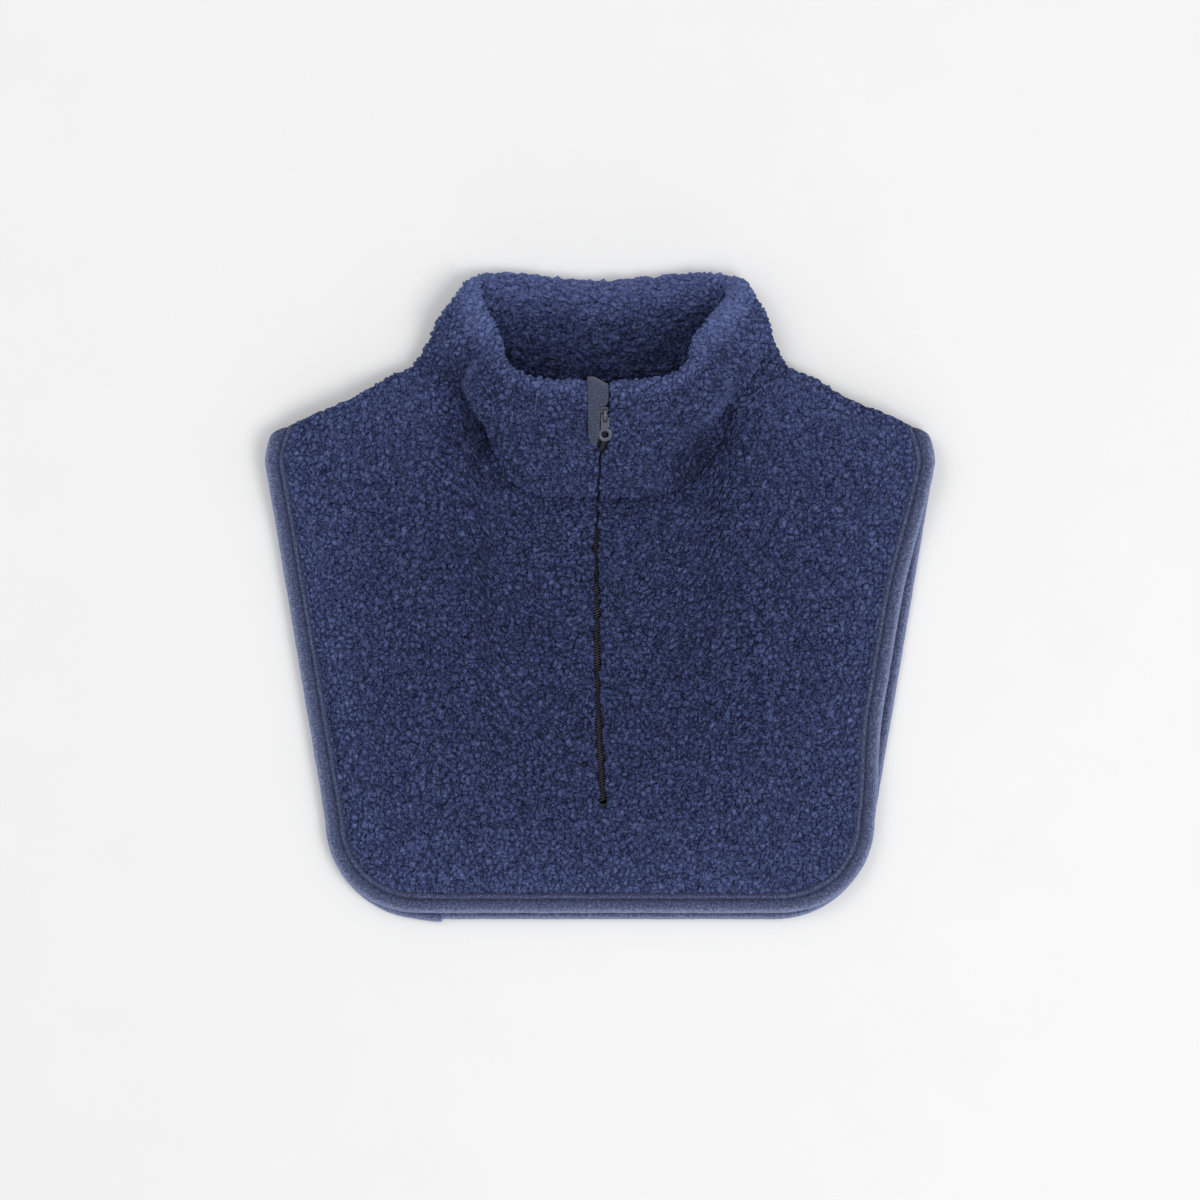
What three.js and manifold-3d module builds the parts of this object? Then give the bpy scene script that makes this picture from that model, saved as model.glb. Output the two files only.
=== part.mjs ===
// Zip-neck dickey of pile fleece, laid flat on its back: two bibs, a collar, an edge binding and a zip.
// Millimetres. +Z up, +Y from the hem to the collar, +X to the right of the one who looks down on it.
// The origin is on the surface that it lies on, under the middle of the whole.
import * as THREE from 'three';
import * as BufferGeometryUtils from 'three/addons/utils/BufferGeometryUtils.js';
import Module from 'manifold-3d';

// Bibs. Heights are measured from the hem.
const bibWidth = 402;
const hemWidth = 330;
const hemCornerRadius = 60;
const shoulderEndHeight = 289;
const shoulderEndInset = 3;
const shoulderEndRound = 15;
const shoulderBulge = 6;
const shoulderBulgeLean = 1.4;
const neckPointHeight = 329;
const neckPointHalf = 112;
const frontNeckHeight = 253;
const backNeckHeight = 309;
const peekSide = 6;
const peekHem = 4;
const bibWall = 5;
const foldReach = 8;
const frontCrown = 7;
const frontNeckRise = 9;
const neckRiseHalf = 62;
const neckRiseLength = 120;
const shoulderLoft = 6;
const shoulderLoftLength = 70;

// Binding, a strip folded round the thin edge of each bib.
const bindingWidth = 13;
const bindingThickness = 5;
const bindingFlange = 1.5;
const lipThickness = 1.2;
const lipEdgeInset = 2.3;

// Collar.
const collarHeight = 78;
const collarWall = 10;
const rimLift = 40;
const creaseSkew = 12;

// Zip.
const zipBottomHeight = 67;
const zipWander = 3;
const chainWidth = 4.5;
const chainThickness = 2.2;
const tapeWidth = 11;
const tapeGap = 2.4;
const tapeThickness = 1;
const tapeEase = 0.7;
const stopLength = 3;
const sliderShare = 0.72;
const sliderLength = 10;
const sliderWidth = 7.2;
const sliderPlate = 1.2;
const bridgeWidth = 1.6;
const bridgeThickness = 1;
const pullerLength = 16.5;
const pullerWidth = 5.2;
const pullerThickness = 1.1;
const pullerPin = 1.4;
const pullerRingRadius = 4.3;
const pullerHoleRadius = 2.2;
const pullerWindow = 5;
const garageThickness = 1.2;
const garageWidth = 11.4;

const clearance = 0.3;
// How far pieces of one metal part run into each other before they are joined.
const weld = 0.2;

const halfGap = clearance / 2;
const overallLength = backNeckHeight + collarHeight;
const bindingHalf = bindingThickness / 2;
const bodyInset = bindingWidth + clearance;
const backLevel = Math.max(bibWall, bindingThickness) / 2;
const frontEdgeLevel = backLevel + Math.max(bibWall, bindingThickness) + clearance;
const chainHalf = chainWidth / 2;

const neckPointStation = 5;
const creaseStation = 2;

const mix = (a, b, t) => a + (b - a) * t;
const smooth = (from, to, v) => THREE.MathUtils.smoothstep(v, from, to);

// The neck seam and three rings above it, at stations from the front middle round to the back middle.
// Seam: out in shares of neckPointHalf, rise in shares of the way from the neck's middle to the neck point.
const stations = ['front', 'cheek', 'crease', 'valley', 'foot', 'neckPoint', 'backCorner', 'back'];
const seam = {
  out: [0, 0.29, 0.45, 0.6, 0.75, 1, 0.71, 0],
  rise: [0, 0.01, 0.09, 0.32, 0.75, 1, 0.42, 0],
};
// Rings: out and up in shares of collarHeight, lift in shares of rimLift, all measured from the seam.
const rings = [
  {
    height: 1 / 3,
    skew: 1,
    out: [0, 0.01, 0.09, -0.04, 0.02, -0.16, 0.02, 0],
    up: [0.31, 0.32, 0.37, 0.25, 0.18, 0.17, 0.29, 0.33],
    lift: [0.46, 0.46, 0.38, 0.06, 0.0, 0.08, 0.09, 0.08],
  },
  {
    height: 2 / 3,
    skew: 0.4,
    out: [0, 0.13, 0.29, 0.14, 0.06, -0.26, -0.06, 0],
    up: [0.6, 0.62, 0.71, 0.62, 0.42, 0.36, 0.6, 0.66],
    lift: [0.81, 0.79, 0.63, 0.2, 0.12, 0.18, 0.11, 0.08],
  },
  {
    height: 1,
    skew: 0,
    out: [0, 0.2, 0.36, 0.24, 0.05, -0.37, -0.18, 0],
    up: [0.88, 0.91, 0.98, 0.92, 0.65, 0.59, 0.85, 1],
    lift: [1.01, 0.99, 0.85, 0.63, 0.43, 0.3, 0.16, 0.09],
  },
];
const samplesPerSpan = [3, 3, 3, 3, 4, 3, 4];
// The share of the collar's height over which it swells and turns away from the bibs.
const seamTurn = 0.3;

// The zip's way up the front: along in shares of its length in plan, drift in shares of zipWander.
const zipCourse = [
  { along: 0, drift: 0.7 },
  { along: 0.3, drift: 0 },
  { along: 0.6, drift: -0.8 },
  { along: 0.73, drift: -0.6 },
  { along: 0.83, drift: 0.4 },
  { along: 0.89, drift: 1 },
  { along: 1, drift: 1 },
];

// The garage tab's edges from its tip up to the rim, in shares of garageWidth off the zip's middle.
const garageRows = [
  { height: 0.5, left: -0.74, right: -0.5 },
  { height: 0.58, left: -0.86, right: -0.38 },
  { height: 0.77, left: -0.86, right: -0.38 },
  { height: 0.81, left: -0.86, right: 0.14 },
  { height: 0.87, left: -0.87, right: 0.14 },
];
const garageRim = { left: -0.9, right: 0.16 };
const garageRimTurns = [0, 30, 60, 90, 120, 150, 180];

const wasm = await Module();
wasm.setup();

function solid(geometry) {
  const bare = geometry.index ? geometry.toNonIndexed() : geometry.clone();
  bare.deleteAttribute('normal');
  bare.deleteAttribute('uv');
  const merged = BufferGeometryUtils.mergeVertices(bare, 1e-5);
  return new wasm.Manifold(new wasm.Mesh({
    numProp: 3,
    vertProperties: new Float32Array(merged.attributes.position.array),
    triVerts: new Uint32Array(merged.index.array),
  }));
}

function geometryOf(manifold) {
  const mesh = manifold.getMesh();
  const geometry = new THREE.BufferGeometry();
  geometry.setAttribute('position', new THREE.BufferAttribute(mesh.vertProperties, 3));
  geometry.setIndex(new THREE.BufferAttribute(mesh.triVerts, 1));
  return geometry;
}

// Collects points and the faces between rows of them.
function shell() {
  const points = [];
  const faces = [];
  const row = (list) => list.map((p) => points.push(p.x, p.y, p.z) / 3 - 1);
  const quad = (a, b, c, d) => faces.push(a, b, c, a, c, d);
  const join = (lower, upper) => {
    for (let i = 0; i + 1 < lower.length; i++) quad(lower[i], lower[i + 1], upper[i + 1], upper[i]);
  };
  const fan = (loop) => {
    for (let i = 1; i + 1 < loop.length; i++) faces.push(loop[0], loop[i], loop[i + 1]);
  };
  const geometry = (turned = false) => {
    const made = new THREE.BufferGeometry();
    made.setAttribute('position', new THREE.Float32BufferAttribute(points, 3));
    made.setIndex(turned ? faces.reverse() : faces);
    return made;
  };
  return { row, join, fan, geometry };
}

// The shoulder line, carried on over the neck, and its outward direction in plan.
function shoulderHeight(x) {
  const end = bibWidth / 2 - shoulderEndInset;
  const t = (Math.abs(x) - neckPointHalf) / (end - neckPointHalf);
  const lean = Math.min(Math.max(t, 0), 1) ** shoulderBulgeLean;
  const bulge = shoulderBulge * Math.sin(Math.PI * lean);
  return mix(neckPointHeight, shoulderEndHeight, t) + bulge;
}

function shoulderOutward(x) {
  const run = bibWidth / 2 - shoulderEndInset - neckPointHalf;
  const drop = neckPointHeight - shoulderEndHeight;
  return new THREE.Vector3(Math.sign(x) * drop, run, 0).normalize();
}

function sideHalf(y, layer, side) {
  const climb = (y - hemCornerRadius) / (shoulderEndHeight - shoulderEndRound - hemCornerRadius);
  const past = Math.max(0, y - (shoulderEndHeight - shoulderEndRound)) / shoulderEndRound;
  const shown = smooth(0, 0.3, climb) * (1 - smooth(0.6, 1, climb));
  const peek = layer === 'front' && side > 0 ? peekSide * shown : 0;
  return mix(hemWidth, bibWidth, Math.min(climb, 1)) / 2 - shoulderEndInset * past * past - peek;
}

function hemHeight(x, layer, inset) {
  const radius = hemCornerRadius - inset;
  const reach = Math.max(0, Math.abs(x) - (hemWidth / 2 - hemCornerRadius));
  const rise = layer === 'front' ? peekHem * (1 - smooth(0, hemCornerRadius, reach)) : 0;
  return hemCornerRadius - Math.sqrt(Math.max(0, radius * radius - reach * reach)) + rise;
}

// Mid-surface of a bib: its level away from the fold, then the fold that joins the two at the shoulder.
function frontLevel(x, y) {
  const across = Math.min(1, Math.abs(x) / sideHalf(Math.min(y, shoulderEndHeight), 'back', 1));
  const upHem = smooth(0, hemCornerRadius, y);
  const shoulder = shoulderLoft * smooth(shoulderEndHeight - shoulderLoftLength, shoulderEndHeight, y);
  const crown = frontCrown * (1 - across * across) * upHem;
  const nearNeck = smooth(frontNeckHeight - neckRiseLength, frontNeckHeight, y);
  const neck = Math.exp(-((x / neckRiseHalf) ** 2)) * nearNeck;
  return frontEdgeLevel + crown + frontNeckRise * neck + shoulder * across * across;
}

function bibSurface(x, y, layer) {
  const upper = frontLevel(x, y);
  const rise = (upper - backLevel) / 2;
  const middle = (upper + backLevel) / 2;
  const near = THREE.MathUtils.clamp((foldReach - (shoulderHeight(x) - y)) / foldReach, 0, 1);
  const sine = Math.sqrt(1 - near * near);
  const sign = layer === 'front' ? 1 : -1;
  const point = new THREE.Vector3(x, y, middle + sign * Math.max(rise * sine, halfGap));
  const normal = shoulderOutward(x).multiplyScalar(near / foldReach);
  normal.z = (sign * sine) / rise;
  return { point, normal: normal.normalize() };
}

// Neck seam in plan, a closed curve through the stations on both sides.
function seamPlan(station, side) {
  const low = station < neckPointStation ? frontNeckHeight : backNeckHeight;
  const x = side * seam.out[station] * neckPointHalf;
  const y = mix(low, neckPointHeight, seam.rise[station]);
  return new THREE.Vector3(x, y, 0);
}

function aroundStations(make) {
  const last = stations.length - 1;
  const left = stations.map((name, k) => make(k, -1));
  const right = stations.map((name, k) => make(k, 1)).slice(1, last).reverse();
  return new THREE.CatmullRomCurve3([...left, ...right], true, 'centripetal');
}

const spans = [...samplesPerSpan, ...samplesPerSpan.slice().reverse()];
const ringShares = spans.flatMap((count, span) =>
  Array.from({ length: count }, (unused, i) => (span + i / count) / spans.length));
const samplesToNeckPoint = samplesPerSpan.slice(0, neckPointStation).reduce((sum, n) => sum + n, 0);
const seamCurve = aroundStations(seamPlan);
const seamPoints = ringShares.map((share) => seamCurve.getPoint(share));
const ringCount = seamPoints.length;
const isFront = (i) => i <= samplesToNeckPoint || i >= ringCount - samplesToNeckPoint;

// A bib as a grid: columns across from seam and shoulder, rows from the hem up and round the shoulder fold.
// The front's columns run from right to left and the back's from left to right, the way the neck seam runs.
const topHalf = bibWidth / 2 - shoulderEndInset;
const shoulderColumns = [0.12, 0.28, 0.46, 0.64, 0.8, 0.92, 1].map(
  (t) => mix(neckPointHalf, topHalf, t) / topHalf);
const levelRows = [0, 0.05, 0.14, 0.3, 0.5, 0.7, 0.86, 0.95, 1];
const foldTurns = [60, 30, 0];

function neckColumns(layer) {
  const chosen = seamPoints.filter((p, i) =>
    layer === 'front' ? isFront(i) : i >= samplesToNeckPoint && i <= ringCount - samplesToNeckPoint);
  return chosen.sort((a, b) => a.x - b.x);
}

function bibGrid(layer) {
  const neck = neckColumns(layer).map((p) => ({ across: p.x / topHalf, neckTop: p.y }));
  const outer = (side) => shoulderColumns.map((share) => ({ across: side * share }));
  const across = [...outer(-1).reverse(), ...neck, ...outer(1)];
  const columns = layer === 'front' ? across.reverse() : across;
  const rows = [
    ...levelRows.map((share) => (low, top) => mix(low, top - foldReach, share)),
    ...foldTurns.map((turn) => (low, top) =>
      top - foldReach * (1 - Math.cos(THREE.MathUtils.degToRad(turn)))),
  ];
  const at = (row, column, inset) => {
    const { across, neckTop } = columns[column];
    const side = Math.sign(across);
    const near = smooth(0.6, 1, Math.abs(across));
    const hemX = across * (hemWidth / 2 - inset);
    const topX = across * topHalf - side * inset * near;
    const low = hemHeight(hemX, layer, inset);
    const top = neckTop ?? shoulderHeight(topX);
    const y = rows[row](low, top);
    const share = (y - low) / (top - low);
    const bend = sideHalf(Math.max(y, hemCornerRadius), layer, side) - mix(hemWidth / 2, topHalf, share);
    return bibSurface(mix(hemX, topX, share) + side * near * bend, y, layer);
  };
  const rim = [];
  for (let r = rows.length - 1; r > 0; r--) rim.push([r, 0]);
  for (let c = 0; c < columns.length; c++) rim.push([0, c]);
  for (let r = 1; r < rows.length; r++) rim.push([r, columns.length - 1]);
  return { columns, rows, at, rim };
}

const grids = { front: bibGrid('front'), back: bibGrid('back') };
const offset = ({ point, normal }, h) => point.clone().addScaledVector(normal, h);

function bibGeometry(layer) {
  const { columns, rows, at, rim } = grids[layer];
  const made = shell();
  const outside = 1;
  const inside = -1;
  const face = (sign) => rows.map((unused, r) => made.row(
    columns.map((column, c) => offset(at(r, c, bodyInset), (sign * bibWall) / 2))));
  const outer = face(outside);
  const inner = face(inside);
  for (let r = 0; r + 1 < rows.length; r++) {
    made.join(outer[r], outer[r + 1]);
    made.join(inner[r + 1], inner[r]);
  }
  const lip = (sign, inset) =>
    made.row(rim.map(([r, c]) => offset(at(r, c, inset), (sign * lipThickness) / 2)));
  const edge = (grid) => rim.map(([r, c]) => grid[r][c]);
  const step = bodyInset - halfGap;
  const loops = [
    edge(inner), lip(inside, step), lip(inside, lipEdgeInset),
    lip(outside, lipEdgeInset), lip(outside, step), edge(outer),
  ];
  for (let i = 0; i + 1 < loops.length; i++) made.join(loops[i], loops[i + 1]);
  const top = rows.length - 1;
  made.join(outer[top], inner[top]);
  made.fan(loops.map((loop) => loop[0]));
  made.fan(loops.map((loop) => loop[loop.length - 1]).reverse());
  return made.geometry(true);
}

// The binding's section: inset from the bib's edge and height off its mid-surface.
function bindingSection() {
  const slot = bindingHalf - bindingFlange;
  const bend = lipEdgeInset - clearance;
  const round = bindingFlange;
  return [
    { inset: bindingWidth, height: -bindingHalf },
    { inset: round, height: -bindingHalf },
    { inset: 0, height: -bindingHalf + round },
    { inset: 0, height: bindingHalf - round },
    { inset: round, height: bindingHalf },
    { inset: bindingWidth, height: bindingHalf },
    { inset: bindingWidth, height: slot },
    { inset: bend, height: slot },
    { inset: bend, height: -slot },
    { inset: bindingWidth, height: -slot },
  ];
}

function bindingGeometry() {
  const made = shell();
  const section = bindingSection();
  const along = [
    ...grids.front.rim.map(([r, c]) => ['front', r, c]),
    ...grids.back.rim.map(([r, c]) => ['back', r, c]),
  ];
  const loops = along.map(([layer, r, c]) => {
    const points = section.map(({ inset, height }) => offset(grids[layer].at(r, c, inset), height));
    return made.row([...points, points[0]]);
  });
  loops.forEach((loop, i) => made.join(loop, loops[(i + 1) % loops.length]));
  return made.geometry();
}

// The collar's mid-surface: rings through the stations, joined up the collar by a curve through the seam.
const ringCurves = rings.map((ring) => aroundStations((station, side) => {
  const foot = seamPlan(station, side);
  const layer = station <= neckPointStation ? 'front' : 'back';
  const base = bibSurface(foot.x, foot.y, layer).point;
  const skew = station === creaseStation && side > 0 ? creaseSkew * ring.skew : 0;
  base.x += side * (ring.out[station] * collarHeight - skew);
  base.y += ring.up[station] * collarHeight;
  base.z += ring.lift[station] * rimLift;
  return base;
}));

const seamSurface = seamPoints.map((p, i) => bibSurface(p.x, p.y, isFront(i) ? 'front' : 'back'));
const seamStart = seamSurface.map(({ point, normal }, i) => {
  const next = seamSurface[(i + 1) % ringCount].point;
  const last = seamSurface[(i + ringCount - 1) % ringCount].point;
  const along = next.clone().sub(last);
  const away = along.cross(normal).normalize();
  return point.clone().addScaledVector(away, clearance);
});
const collarLines = seamStart.map((start, i) => new THREE.CatmullRomCurve3(
  [start, ...ringCurves.map((curve) => curve.getPoint(ringShares[i]))], false, 'centripetal'));

function collarSurface(i, height) {
  const line = (k) => collarLines[(k + ringCount) % ringCount];
  const point = line(i).getPoint(height);
  const around = line(i + 1).getPoint(height).sub(line(i - 1).getPoint(height));
  const up = line(i).getTangent(Math.min(Math.max(height, 0.001), 0.999));
  const made = up.clone().cross(around).normalize();
  const turned = smooth(0, seamTurn, height);
  const normal = seamSurface[((i % ringCount) + ringCount) % ringCount].normal.clone();
  return { point, up, normal: normal.multiplyScalar(1 - turned).addScaledVector(made, turned).normalize() };
}

const rimShare = collarWall / 2 / collarHeight;
const wallShare = (height) => mix(bibWall / collarWall, 1, smooth(0, seamTurn, height));
const collarProfile = [
  ...[0, 0.06, 0.14, 0.26, 0.4, 0.55, 0.7, 0.83].map((height) => ({
    height,
    half: (wallShare(height) * collarWall) / 2,
  })),
  ...[0, 30, 60].map((turn) => ({
    height: 1 - rimShare * (1 - Math.sin(THREE.MathUtils.degToRad(turn))),
    half: (collarWall / 2) * Math.cos(THREE.MathUtils.degToRad(turn)),
  })),
];

function collarGeometry() {
  const made = shell();
  const loop = (height, half) => {
    const points = seamPoints.map((unused, i) => {
      const p = offset(collarSurface(i, height), half);
      p.z = Math.max(p.z, 0);
      return p;
    });
    const indices = made.row(points);
    return [...indices, indices[0]];
  };
  const outer = collarProfile.map(({ height, half }) => loop(height, half));
  const rim = loop(1, 0);
  const inner = collarProfile.map(({ height, half }) => loop(height, -half)).reverse();
  const all = [...outer, rim, ...inner];
  for (let i = 0; i + 1 < all.length; i++) made.join(all[i + 1], all[i]);
  made.join(all[0], all[all.length - 1]);
  return made.geometry();
}

// The zip's course: a station every few millimetres up the front bib and then up the collar's front.
const zipPlanLength = frontNeckHeight + rings[2].up[0] * collarHeight - zipBottomHeight;
const driftCurve = new THREE.CatmullRomCurve3(
  zipCourse.map(({ along, drift }) => new THREE.Vector3(along, drift, 0)), false, 'centripetal');

const driftPlaces = driftCurve.getPoints(60);

function zipDrift(y) {
  const along = THREE.MathUtils.clamp((y - zipBottomHeight) / zipPlanLength, 0, 1);
  const next = Math.max(1, driftPlaces.findIndex((p) => p.x >= along));
  const from = driftPlaces[next - 1];
  const to = driftPlaces[next];
  return zipWander * mix(from.y, to.y, (along - from.x) / (to.x - from.x));
}

// How far the tape lies off the cloth's mid-surface: under the bib, then between the collar's two layers.
const tapeLevel = (height) => mix(-bibWall / 2 - clearance - tapeEase, -clearance, smooth(0, 0.22, height));

const collarSteps = [0.03, 0.08, 0.14, 0.22, 0.32, 0.42, 0.52, 0.6, 0.68, 0.76, 0.84, 0.92, 0.97];

function zipStation(y, point, up, normal, height) {
  point.x = zipDrift(y);
  up.x = 0;
  normal.x = 0;
  return { point, up: up.normalize(), normal: normal.normalize(), tape: tapeLevel(height), height };
}

function bibStation(y) {
  const { point } = bibSurface(0, y, 'front');
  const ahead = bibSurface(0, y + 1, 'front').point;
  const up = ahead.sub(point);
  return zipStation(y, point, up, new THREE.Vector3(0, -up.z, up.y), 0);
}

function collarStation(height) {
  const { point, up, normal } = collarSurface(0, height);
  return zipStation(point.y, point, up.clone(), normal.clone(), height);
}

// The stations on the bib lie on the rows of its grid, so that the tape follows the same facets.
const bibRowHeights = grids.front.rows
  .map((place) => place(hemHeight(0, 'front', bodyInset), frontNeckHeight))
  .filter((y) => y > zipBottomHeight + 2 * stopLength);
const zipStations = [
  bibStation(zipBottomHeight),
  ...bibRowHeights.slice(0, -1).map(bibStation),
  ...collarSteps.map(collarStation),
];

// A closed strip along stations. Its section gives pairs of side and level off the tape's top,
// anticlockwise seen from the hem.
function strip(places, section) {
  const made = shell();
  const loops = places.map((place) => {
    const points = section(place).map(([side, level]) => {
      const p = offset(place, place.tape + level);
      p.x += side;
      return p;
    });
    const indices = made.row(points);
    return [...indices, indices[0]];
  });
  for (let i = 0; i + 1 < loops.length; i++) made.join(loops[i], loops[i + 1]);
  made.fan(loops[0].slice(0, -1).reverse());
  made.fan(loops[loops.length - 1].slice(0, -1));
  return made.geometry(true);
}

const box = (left, right, low, high) => [[left, low], [right, low], [right, high], [left, high]];

// The room that the zip needs in the cloth: a slit as wide as the chain, wider round the slider and
// puller, and the tapes' seat inside the collar.
const openFrom = 0.42;
const pocketHalf = pullerRingRadius + clearance;
const slitHalf = (height) =>
  mix(chainHalf + clearance, pocketHalf, smooth(openFrom - 0.12, openFrom, height));
const throughCloth = 3 * collarWall;

function zipSlot() {
  const first = bibStation(zipBottomHeight - clearance);
  const last = collarStation(1);
  last.point.addScaledVector(last.up, collarWall);
  const places = [first, ...zipStations, last];
  const slit = strip(places, ({ height }) =>
    box(-slitHalf(height), slitHalf(height), -throughCloth, throughCloth));
  const seatHalf = tapeGap / 2 + tapeWidth + clearance;
  const seat = strip(places, () => box(-seatHalf, seatHalf, -tapeThickness - clearance, clearance));
  return { slit: solid(slit), seat: solid(seat) };
}

const tapeStations = zipStations.filter(({ height }) => height <= 0.93);
function tapeGeometry(side) {
  const near = side * (tapeGap / 2);
  const far = side * (tapeGap / 2 + tapeWidth);
  return strip(tapeStations, () => box(Math.min(near, far), Math.max(near, far), -tapeThickness, 0));
}

const chainStations = zipStations.filter(({ height }) => height < sliderShare);
function chainGeometry() {
  const shoulder = chainThickness * 0.35;
  const first = bibStation(zipBottomHeight + stopLength + clearance);
  return strip([first, ...chainStations.slice(1)], () => [
    [-chainHalf + shoulder, clearance], [chainHalf - shoulder, clearance],
    [chainHalf, clearance + shoulder], [chainHalf - shoulder, clearance + chainThickness],
    [-chainHalf + shoulder, clearance + chainThickness], [-chainHalf, clearance + shoulder],
  ]);
}

function stopGeometry() {
  const middle = bibStation(zipBottomHeight + stopLength / 2);
  const made = new THREE.BoxGeometry(chainWidth, stopLength, chainThickness);
  made.translate(0, 0, clearance + chainThickness / 2);
  return { geometry: made, place: middle };
}

// The garage tab lies on the collar's face left of the slider, and folds over the rim.
function garageGeometry() {
  const middle = zipDrift(zipBottomHeight + zipPlanLength);
  const face = collarWall / 2;
  const rows = [
    ...garageRows.map((row) => ({ ...row, turn: 0 })),
    ...garageRimTurns.map((turn) => ({ ...garageRim, turn, height: 1 - rimShare })),
  ].map(({ height, turn, left, right }) => {
    const { point, up, normal } = collarSurface(0, height);
    const angle = THREE.MathUtils.degToRad(turn);
    const away = normal.clone().multiplyScalar(Math.cos(angle)).addScaledVector(up, Math.sin(angle));
    const at = (share, lift) => {
      const p = point.clone().addScaledVector(away, face + lift);
      p.x = middle + share * garageWidth;
      return p;
    };
    const top = clearance + garageThickness;
    return [at(left, clearance), at(right, clearance), at(right, top), at(left, top)];
  });
  const made = shell();
  const loops = rows.map((row) => made.row(row));
  for (let i = 0; i + 1 < loops.length; i++) {
    made.join([...loops[i + 1], loops[i + 1][0]], [...loops[i], loops[i][0]]);
  }
  made.fan(loops[0]);
  made.fan(loops[loops.length - 1].slice().reverse());
  return made.geometry();
}

// Flat shapes made thick: lying across the slider, or standing along it.
function plate(outline, low, thickness, holes = []) {
  const shape = new THREE.Shape(outline.map(([x, y]) => new THREE.Vector2(x, y)));
  shape.holes.push(...holes);
  const settings = { depth: thickness, bevelEnabled: false, curveSegments: 10 };
  return new THREE.ExtrudeGeometry(shape, settings).translate(0, 0, low);
}

function block(x, y, z, width, length, height) {
  return new THREE.BoxGeometry(width, length, height).translate(x, y, z + height / 2);
}

// The slider, measured from the tape's top: a plate under the tape, one over the chain, flanges, post, bridge.
const topPlateLow = clearance + chainThickness + clearance;
const topPlateHigh = topPlateLow + sliderPlate;
const pinLevel = topPlateHigh + clearance + pullerPin / 2;
const bridgeLow = pinLevel + pullerPin / 2 + clearance;
const bridgeFoot = pullerWindow - 2 * clearance - pullerPin / 2;

function sliderGeometry() {
  const half = sliderWidth / 2;
  const end = sliderLength / 2;
  const narrow = half * 0.8;
  const taper = end * 0.5;
  const outline = [
    [-narrow, -end], [narrow, -end], [half, -end + taper], [half, end - taper / 2], [narrow, end],
    [-narrow, end], [-half, end - taper / 2], [-half, -end + taper],
  ];
  const bottomLow = -tapeThickness - clearance - sliderPlate;
  const flange = half - chainHalf - clearance;
  const postWidth = tapeGap - 2 * clearance;
  const postLength = sliderPlate;
  const pieces = [
    plate(outline, topPlateLow, sliderPlate),
    plate(outline, bottomLow, sliderPlate),
    block(0, end - postLength, bottomLow, postWidth, postLength, topPlateHigh - bottomLow),
    ...[-1, 1].map((side) =>
      block(side * (half - flange / 2), 0, clearance, flange, 2 * (end - taper), topPlateHigh - clearance)),
    ...[-1, 1].map((side) => block(
      0, side * (bridgeFoot - bridgeThickness / 2), topPlateHigh - sliderPlate / 2,
      bridgeWidth, bridgeThickness, bridgeLow + bridgeThickness - topPlateHigh + sliderPlate / 2)),
    block(0, 0, bridgeLow, bridgeWidth, 2 * bridgeFoot, bridgeThickness),
  ];
  return geometryOf(pieces.map(solid).reduce((whole, piece) => whole.add(piece)));
}

// The puller, measured from its pin: two arms beside the bridge, a neck and a ring, lying down the zip.
function pullerGeometry() {
  const arm = (pullerWidth - bridgeWidth) / 2 - clearance;
  const ringAt = -pullerLength + pullerRingRadius;
  const low = -pullerThickness / 2;
  const circle = new THREE.Path().absarc(0, ringAt, pullerHoleRadius, 0, 2 * Math.PI, true);
  const ringOutline = new THREE.Path().absarc(0, ringAt, pullerRingRadius, 0, 2 * Math.PI).getPoints(12)
    .slice(0, -1).map((p) => [p.x, p.y]);
  const neckEnd = ringAt + (pullerHoleRadius + pullerRingRadius) / 2;
  const neckStart = weld - pullerWindow;
  const pin = new THREE.CylinderGeometry(pullerPin / 2, pullerPin / 2, pullerWidth, 12);
  const pieces = [
    pin.rotateZ(Math.PI / 2),
    ...[-1, 1].map((side) =>
      block(side * (pullerWidth - arm) / 2, -pullerWindow / 2, low, arm, pullerWindow, pullerThickness)),
    block(0, (neckEnd + neckStart) / 2, low, pullerWidth, neckStart - neckEnd, pullerThickness),
    plate(ringOutline, low, pullerThickness, [circle]),
  ];
  return geometryOf(pieces.map(solid).reduce((whole, piece) => whole.add(piece)));
}

const material = (color, roughness, metalness = 0) =>
  new THREE.MeshStandardMaterial({ color, roughness, metalness });

const group = new THREE.Group();
group.position.y = -overallLength / 2;

function add(name, geometry, look, parent = group) {
  geometry.computeVertexNormals();
  const mesh = new THREE.Mesh(geometry, look);
  mesh.name = name;
  parent.add(mesh);
  return mesh;
}

// A group that stands on the tape at a station, its own +Y up the zip.
function standOnTape(place) {
  const stand = new THREE.Group();
  stand.position.copy(offset(place, place.tape));
  stand.rotation.x = Math.atan2(place.up.z, place.up.y);
  group.add(stand);
  return stand;
}

const { slit, seat } = zipSlot();
add('front_panel', geometryOf(solid(bibGeometry('front')).subtract(slit)), material(0x2d3553, 0.95));
add('back_panel', bibGeometry('back'), material(0x2d3553, 0.95));
add('edge_binding', bindingGeometry(), material(0x3a4560, 0.8));
add('collar', geometryOf(solid(collarGeometry()).subtract(slit).subtract(seat)), material(0x303859, 0.95));
add('zip_tape_left', tapeGeometry(-1), material(0x30384f, 0.9));
add('zip_tape_right', tapeGeometry(1), material(0x30384f, 0.9));
add('zip_chain', chainGeometry(), material(0x4a4a4a, 0.5));
const stop = stopGeometry();
add('zip_bottom_stop', stop.geometry, material(0x6b6f78, 0.4, 0.6), standOnTape(stop.place));
add('zip_garage', garageGeometry(), material(0x3a4152, 0.85));
const head = standOnTape(collarStation(sliderShare));
add('zip_slider', sliderGeometry(), material(0x9aa0a8, 0.3, 0.9), head);
const puller = add('zip_puller', pullerGeometry(), material(0x9aa0a8, 0.3, 0.9), head);
puller.position.z = pinLevel;

export default group;
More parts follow.
